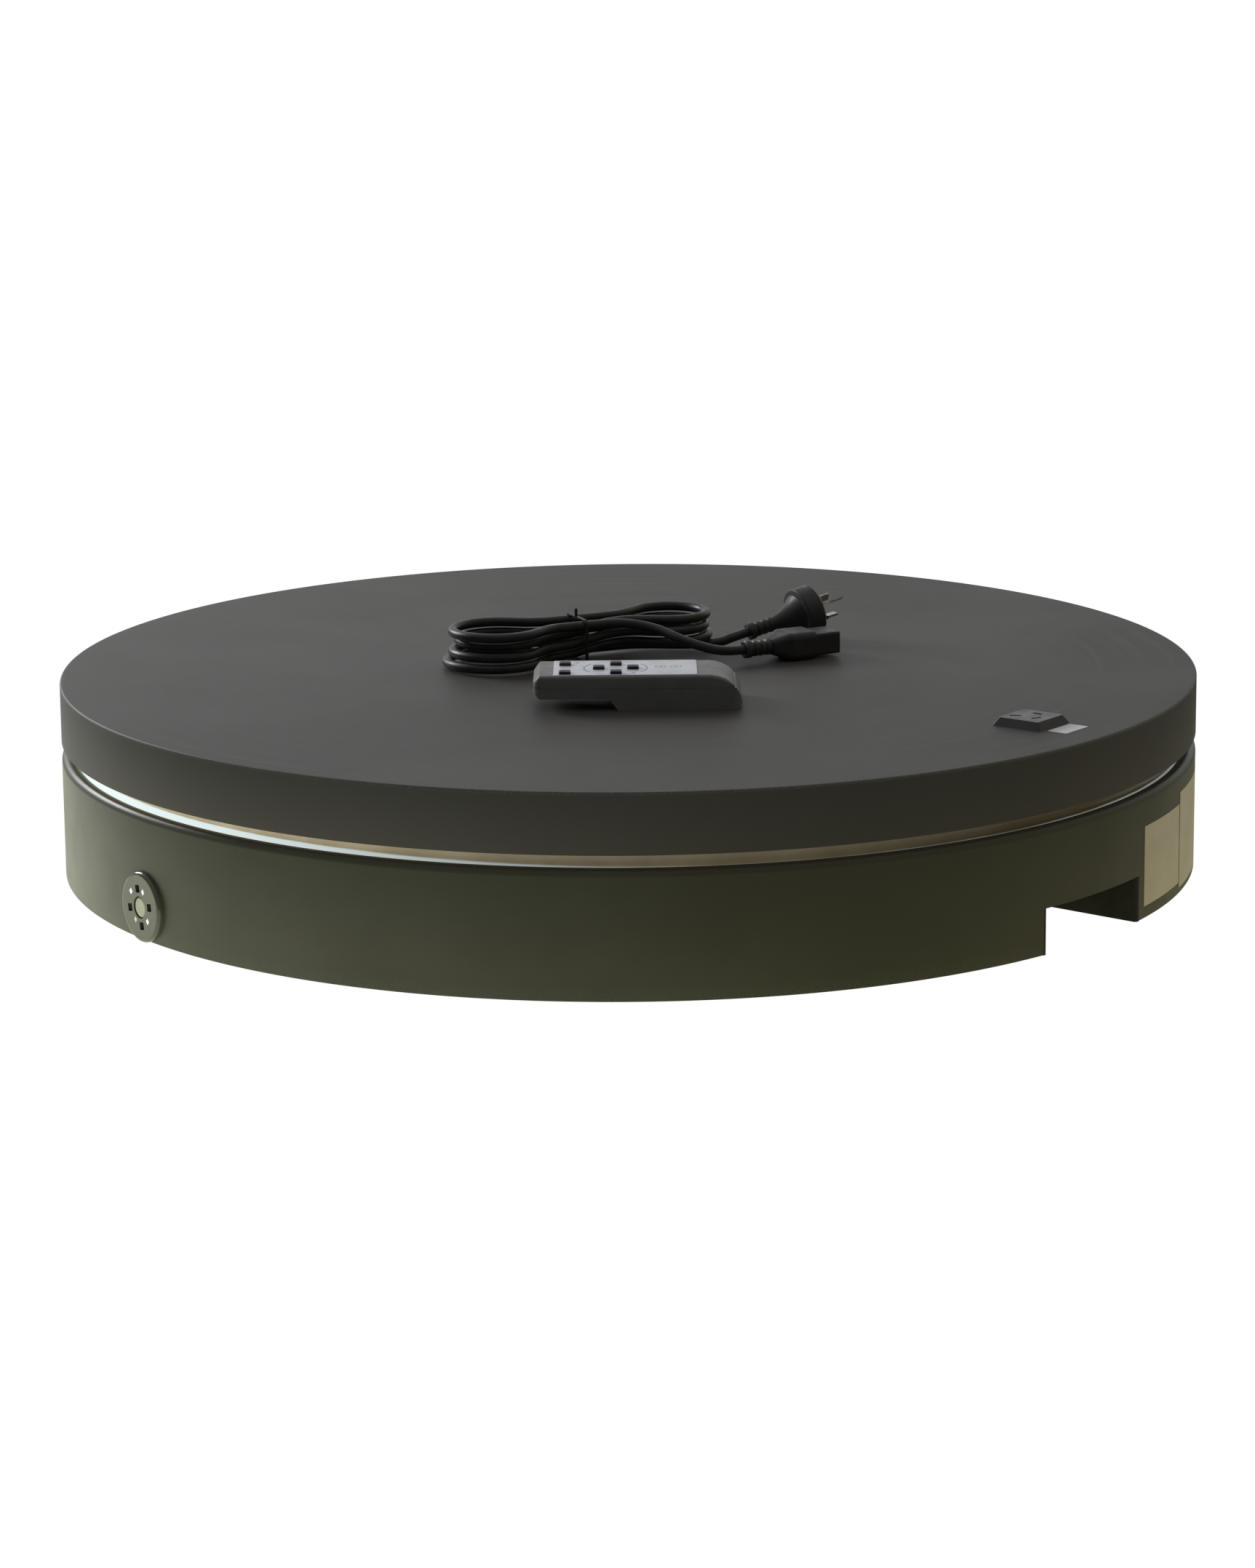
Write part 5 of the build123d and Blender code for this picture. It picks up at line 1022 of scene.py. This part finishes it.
@dataclass
class Lead:
    """The tied hank of cord with its plug and connector.

    Routes are control points in the hank's own frame, which has the tie at its origin and the hank
    along x. A loop is (radius, distance of its outermost point from the tie). The loops climb layer
    by layer, the left and the right one in turn.
    """

    wardrobe: Wardrobe
    tie: Span = (-32.0, 26.0)
    turn: float = 24.0
    diameter: float = 6.8
    lift: float = 1.5
    step: float = 7.4
    waist_half: float = 18.0
    waist_back: float = 9.0
    waist_front: Sequence[float] = (-9.0, -12.0, -9.0, -16.6)
    left_loops: Sequence[Span] = ((34.0, 102.0), (31.0, 98.0), (28.0, 93.0), (31.0, 99.0))
    right_loops: Sequence[Span] = ((31.0, 95.0), (29.0, 92.0), (27.0, 94.0))
    loop_points: int = 9
    plug_route: Sequence[Triple] = ((24.8, 9.0, 4.9), (46.0, 9.0, 4.9), (76.0, -9.5, 4.9),
                                    (99.0, -15.6, 4.9), (111.0, -16.2, 8.5), (123.0, -15.3, 10.9))
    connector_route: Sequence[Triple] = ((94.1, -69.2, 10.3), (77.5, -70.4, 10.3),
                                         (62.5, -63.4, 14.4), (51.4, -51.1, 19.0),
                                         (44.6, -35.9, 23.0), (33.5, -23.6, 25.8),
                                         (18.5, -16.6, 27.1), (2.0, -16.6, 27.1))

    def world(self, points: Sequence[Sequence[float]]) -> np.ndarray:
        """Turns the hank frame's points, in millimetres, into metres in the object's frame."""
        p = np.asarray(points, float)
        c, s = math.cos(math.radians(self.turn)), math.sin(math.radians(self.turn))
        x = self.tie[0] + p[:, 0] * c - p[:, 1] * s
        y = self.tie[1] + p[:, 0] * s + p[:, 1] * c
        return np.stack([x, y, TOP + p[:, 2]], axis=-1) * MM

    def layer(self, number: int) -> float:
        """Height of the cord's centre line in a layer."""
        return self.lift + self.diameter / 2 + self.step * number

    def loop(self, end: HankEnd, size: Span, first: float, second: float, height: float) -> list:
        """Control points of one end loop: round a circle that touches the waist on both sides.

        They lie outside the circle by 1 / cos(half a step), so that the curve runs on it.

        Args:
            end: the end of the hank.
            size: the loop's radius, and how far its outermost point lies from the tie.
            first: offset of the run that goes in.
            second: offset of the run that comes out.
            height: height of the centre line.

        Returns:
            Points in the hank's frame.
        """
        side, radius = end.value, size[0]
        middle, apart = (first + second) / 2, abs(first - second) / 2
        reach = size[1] - self.waist_half - radius
        swing = (reach ** 2 + apart ** 2 - radius ** 2) / (2 * (radius - apart))
        lean = math.degrees(math.atan2(reach, apart + swing))
        way = 1 if first > middle else -1
        angles = np.radians(np.linspace(90 + lean * 0.62, -90 - lean * 0.62, self.loop_points))
        grow = radius / math.cos((angles[0] - angles[1]) / 2)
        centre = side * (self.waist_half + reach)
        x, y = centre + side * grow * np.cos(angles), middle + way * grow * np.sin(angles)
        ring = np.column_stack([x, y, np.full(self.loop_points, height)]).tolist()
        near = side * (self.waist_half + reach * 0.30)
        return [(near, first + way * 0.6, height), *ring, (near, second - way * 0.6, height)]

    def route(self) -> np.ndarray:
        """Control points from the connector, through the hank from its top layer down, to the plug.

        Returns:
            Points in metres.
        """
        hank: list = []
        for number, size in enumerate(self.left_loops):
            height, front = self.layer(number), self.waist_front[number]
            hank += [(8.0, self.waist_back, height), (-12.0, self.waist_back, height)]
            hank += self.loop(HankEnd.LEFT, size, self.waist_back, front, height)
            if number < len(self.right_loops):
                above = self.layer(number + 1)
                hank += [(-14.0, front, height + 0.8), (0.0, front, (height + above) / 2),
                         (14.0, front, above - 0.8)]
                hank += self.loop(HankEnd.RIGHT, self.right_loops[number], front, self.waist_back,
                                  above)
            else:
                hank += [(-14.0, front, height)]
        return self.world([*self.connector_route, *hank[::-1], *self.plug_route])

    def cord(self) -> bpy.types.Object:
        """The cord: one smooth spline with a round section.

        Returns:
            The piece.
        """
        route = self.route()
        curve = bpy.data.curves.new("power_cord", "CURVE")
        curve.dimensions = "3D"
        curve.bevel_depth = self.diameter / 2 * MM
        curve.bevel_resolution = 5
        curve.use_fill_caps = True
        spline = curve.splines.new("NURBS")
        spline.points.add(len(route) - 1)
        weighted = np.column_stack([route, np.ones(len(route))])
        spline.points.foreach_set("co", weighted.reshape(-1))
        spline.order_u = 3
        spline.use_endpoint_u = True
        spline.resolution_u = 8
        curve.materials.append(self.wardrobe.of(CORD))
        piece = bpy.data.objects.new("power_cord", curve)
        bpy.context.scene.collection.objects.link(piece)
        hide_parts("lead_hank", "lead_plug_end", "lead_connector_end")
        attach(piece, "lead")
        return piece


@dataclass
class Studio:
    """White surroundings, a soft light and the camera."""

    camera_place: Sequence[float] = (-0.0011, -3.35541, 0.82309)
    look: Sequence[float] = (0.0, 0.97457, -0.22408)
    roll: float = 0.4996
    lens: float = 110.98
    sky: Sequence[tuple[Facing, Colour]] = ((Facing.LEFT, (0.02, 0.02, 0.02)),
                                            (Facing.RIGHT, (0.13, 0.11, 0.045)),
                                            (Facing.FRONT, (0.02, 0.02, 0.02)),
                                            (Facing.BACK, (0.69, 0.7, 0.71)),
                                            (Facing.ABOVE, (0.36, 0.352, 0.345)))
    floor_half: float = 9.0
    floor_drop: float = 0.0004
    near_light: Colour = (0.27, 0.255, 0.14)
    left_light: Colour = (0.82, 0.87, 0.76)
    lamp_place: Triple = (-1.15, 0.75, 0.75)
    lamp_aim: Triple = (-0.3, 0.1, 0.13)
    lamp_size: float = 0.6
    lamp_power: Colour = (11.0, 11.0, 11.2)

    def camera(self) -> bpy.types.Object:
        """Camera solved from the photograph.

        Returns:
            The camera.
        """
        data = bpy.data.cameras.new("camera")
        data.sensor_width, data.lens = 36.0, self.lens
        data.clip_start, data.clip_end = 0.01, 50.0
        ahead = Vector(self.look).normalized()
        level = ahead.cross(Vector((0, 0, 1))).normalized()
        up = level.cross(ahead)
        tilt = math.radians(self.roll)
        across = level * math.cos(tilt) - up * math.sin(tilt)
        top = across.cross(ahead)
        piece = bpy.data.objects.new("camera", data)
        turn = Matrix((across, top, -ahead)).transposed().to_4x4()
        piece.matrix_world = Matrix.Translation(self.camera_place) @ turn
        bpy.context.scene.collection.objects.link(piece)
        bpy.context.scene.camera = piece
        return piece

    def surroundings(self) -> None:
        """White backdrop for the eye; for the light, a dome mixed from five soft lobes.

        Each lobe is the squared part of the direction along its axis, where that part is positive.
        """
        world = bpy.data.worlds.new("white_room")
        bpy.context.scene.world = world
        world.use_nodes = True
        graph = Graph(world.node_tree)
        parts = graph.axes(graph.add("ShaderNodeTexCoord", {}, {}, "Generated"))
        total: Any = DARK
        for facing, colour in self.sky:
            axis, sign = facing.value
            total = graph.blend_add(total, colour, (parts[axis] * sign).most(0.0) ** 2.0)
        lit = graph.add("ShaderNodeBackground", {}, {"Color": total, "Strength": 1.0})
        seen = graph.add("ShaderNodeBackground", {}, {"Color": WHITE, "Strength": 1.0})
        path = graph.add("ShaderNodeLightPath", {}, {}, "Is Camera Ray")
        mixer = graph.add("ShaderNodeMixShader", {}, {0: path, 1: lit, 2: seen})
        graph.make("ShaderNodeOutputWorld", {}, {0: mixer})

    def floor(self) -> bpy.types.Object:
        """White floor that lights the object, most near by and from the left; clear from below.

        Returns:
            The floor.
        """
        half, low = self.floor_half, -self.floor_drop
        points = np.array([[-half, -half, low], [half, -half, low], [half, half, low],
                           [-half, half, low]])
        graph = Shading("pale_floor")
        x, y, _ = graph.axes(graph.place())
        near = ((x * x + y * y) ** 0.5).fall(0.4, 1.05)
        glow = graph.blend_add(DARK, self.near_light, near)
        glow = graph.blend_add(glow, self.left_light, near * x.fall(-0.75, 0.35))
        graph.set(Base_Color=(0.35, 0.35, 0.34), Roughness=0.9, Emission_Color=glow,
                  Emission_Strength=1.0)
        lit = Wire(graph, graph.shader.outputs[0])
        seen = graph.add("ShaderNodeEmission", {}, {"Color": WHITE, "Strength": 1.0})
        path = graph.add("ShaderNodeLightPath", {}, {}, "Is Camera Ray")
        mixer = graph.add("ShaderNodeMixShader", {}, {0: path, 1: lit, 2: seen})
        under = graph.add("ShaderNodeNewGeometry", {}, {}, "Backfacing")
        clear = graph.add("ShaderNodeBsdfTransparent", {}, {})
        sides = graph.add("ShaderNodeMixShader", {}, {0: under, 1: mixer, 2: clear})
        graph.feed(graph.output.inputs[0], sides)
        piece = make_piece("floor", points, [[0, 1, 2, 3]], graph.material)
        return piece

    def lamp(self) -> bpy.types.Object:
        """Soft square light, aimed at the object from behind its left side.

        Returns:
            The lamp.
        """
        data = bpy.data.lights.new("key", "AREA")
        data.shape, data.size, data.energy = "SQUARE", self.lamp_size, max(self.lamp_power)
        data.color = tuple(value / max(self.lamp_power) for value in self.lamp_power)
        lamp = bpy.data.objects.new("key", data)
        lamp.location = self.lamp_place
        lamp.rotation_mode = "QUATERNION"
        ahead = Vector(self.lamp_aim) - Vector(self.lamp_place)
        lamp.rotation_quaternion = ahead.to_track_quat("-Z", "Y")
        bpy.context.scene.collection.objects.link(lamp)
        return lamp


def dress(frame: dict, wardrobe: Wardrobe) -> None:
    """Gives every CAD node its finish.

    Args:
        wardrobe: maker of the materials.
    """
    for name, node in frame["nodes"].items():
        node.data.materials.clear()
        node.data.materials.append(wardrobe.of(NODE_FINISH[name]))


def main() -> None:
    """Builds the looks in order and reports each piece."""
    logging.basicConfig(level=logging.INFO, format="%(message)s")
    for thing in list(bpy.data.objects):
        bpy.data.objects.remove(thing)
    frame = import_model()
    bpy.context.scene.view_settings.view_transform = "Standard"
    studio = Studio()
    studio.camera()
    wardrobe = Wardrobe()
    log.info("%s: a spline", Lead(wardrobe).cord().name)
    studio.surroundings()
    studio.floor()
    studio.lamp()
    dress(frame, wardrobe)
    base, remote = Base(wardrobe), Remote(wardrobe)
    made = [Platter(wardrobe).cover(), *base.skirt(), base.dust_ring(), *base.labels(),
            remote.upper_half(), remote.film(), *remote.buttons()]
    for piece in made:
        log.info("%s: %d faces", piece.name, len(piece.data.polygons))


if __name__ == "__main__":
    main()
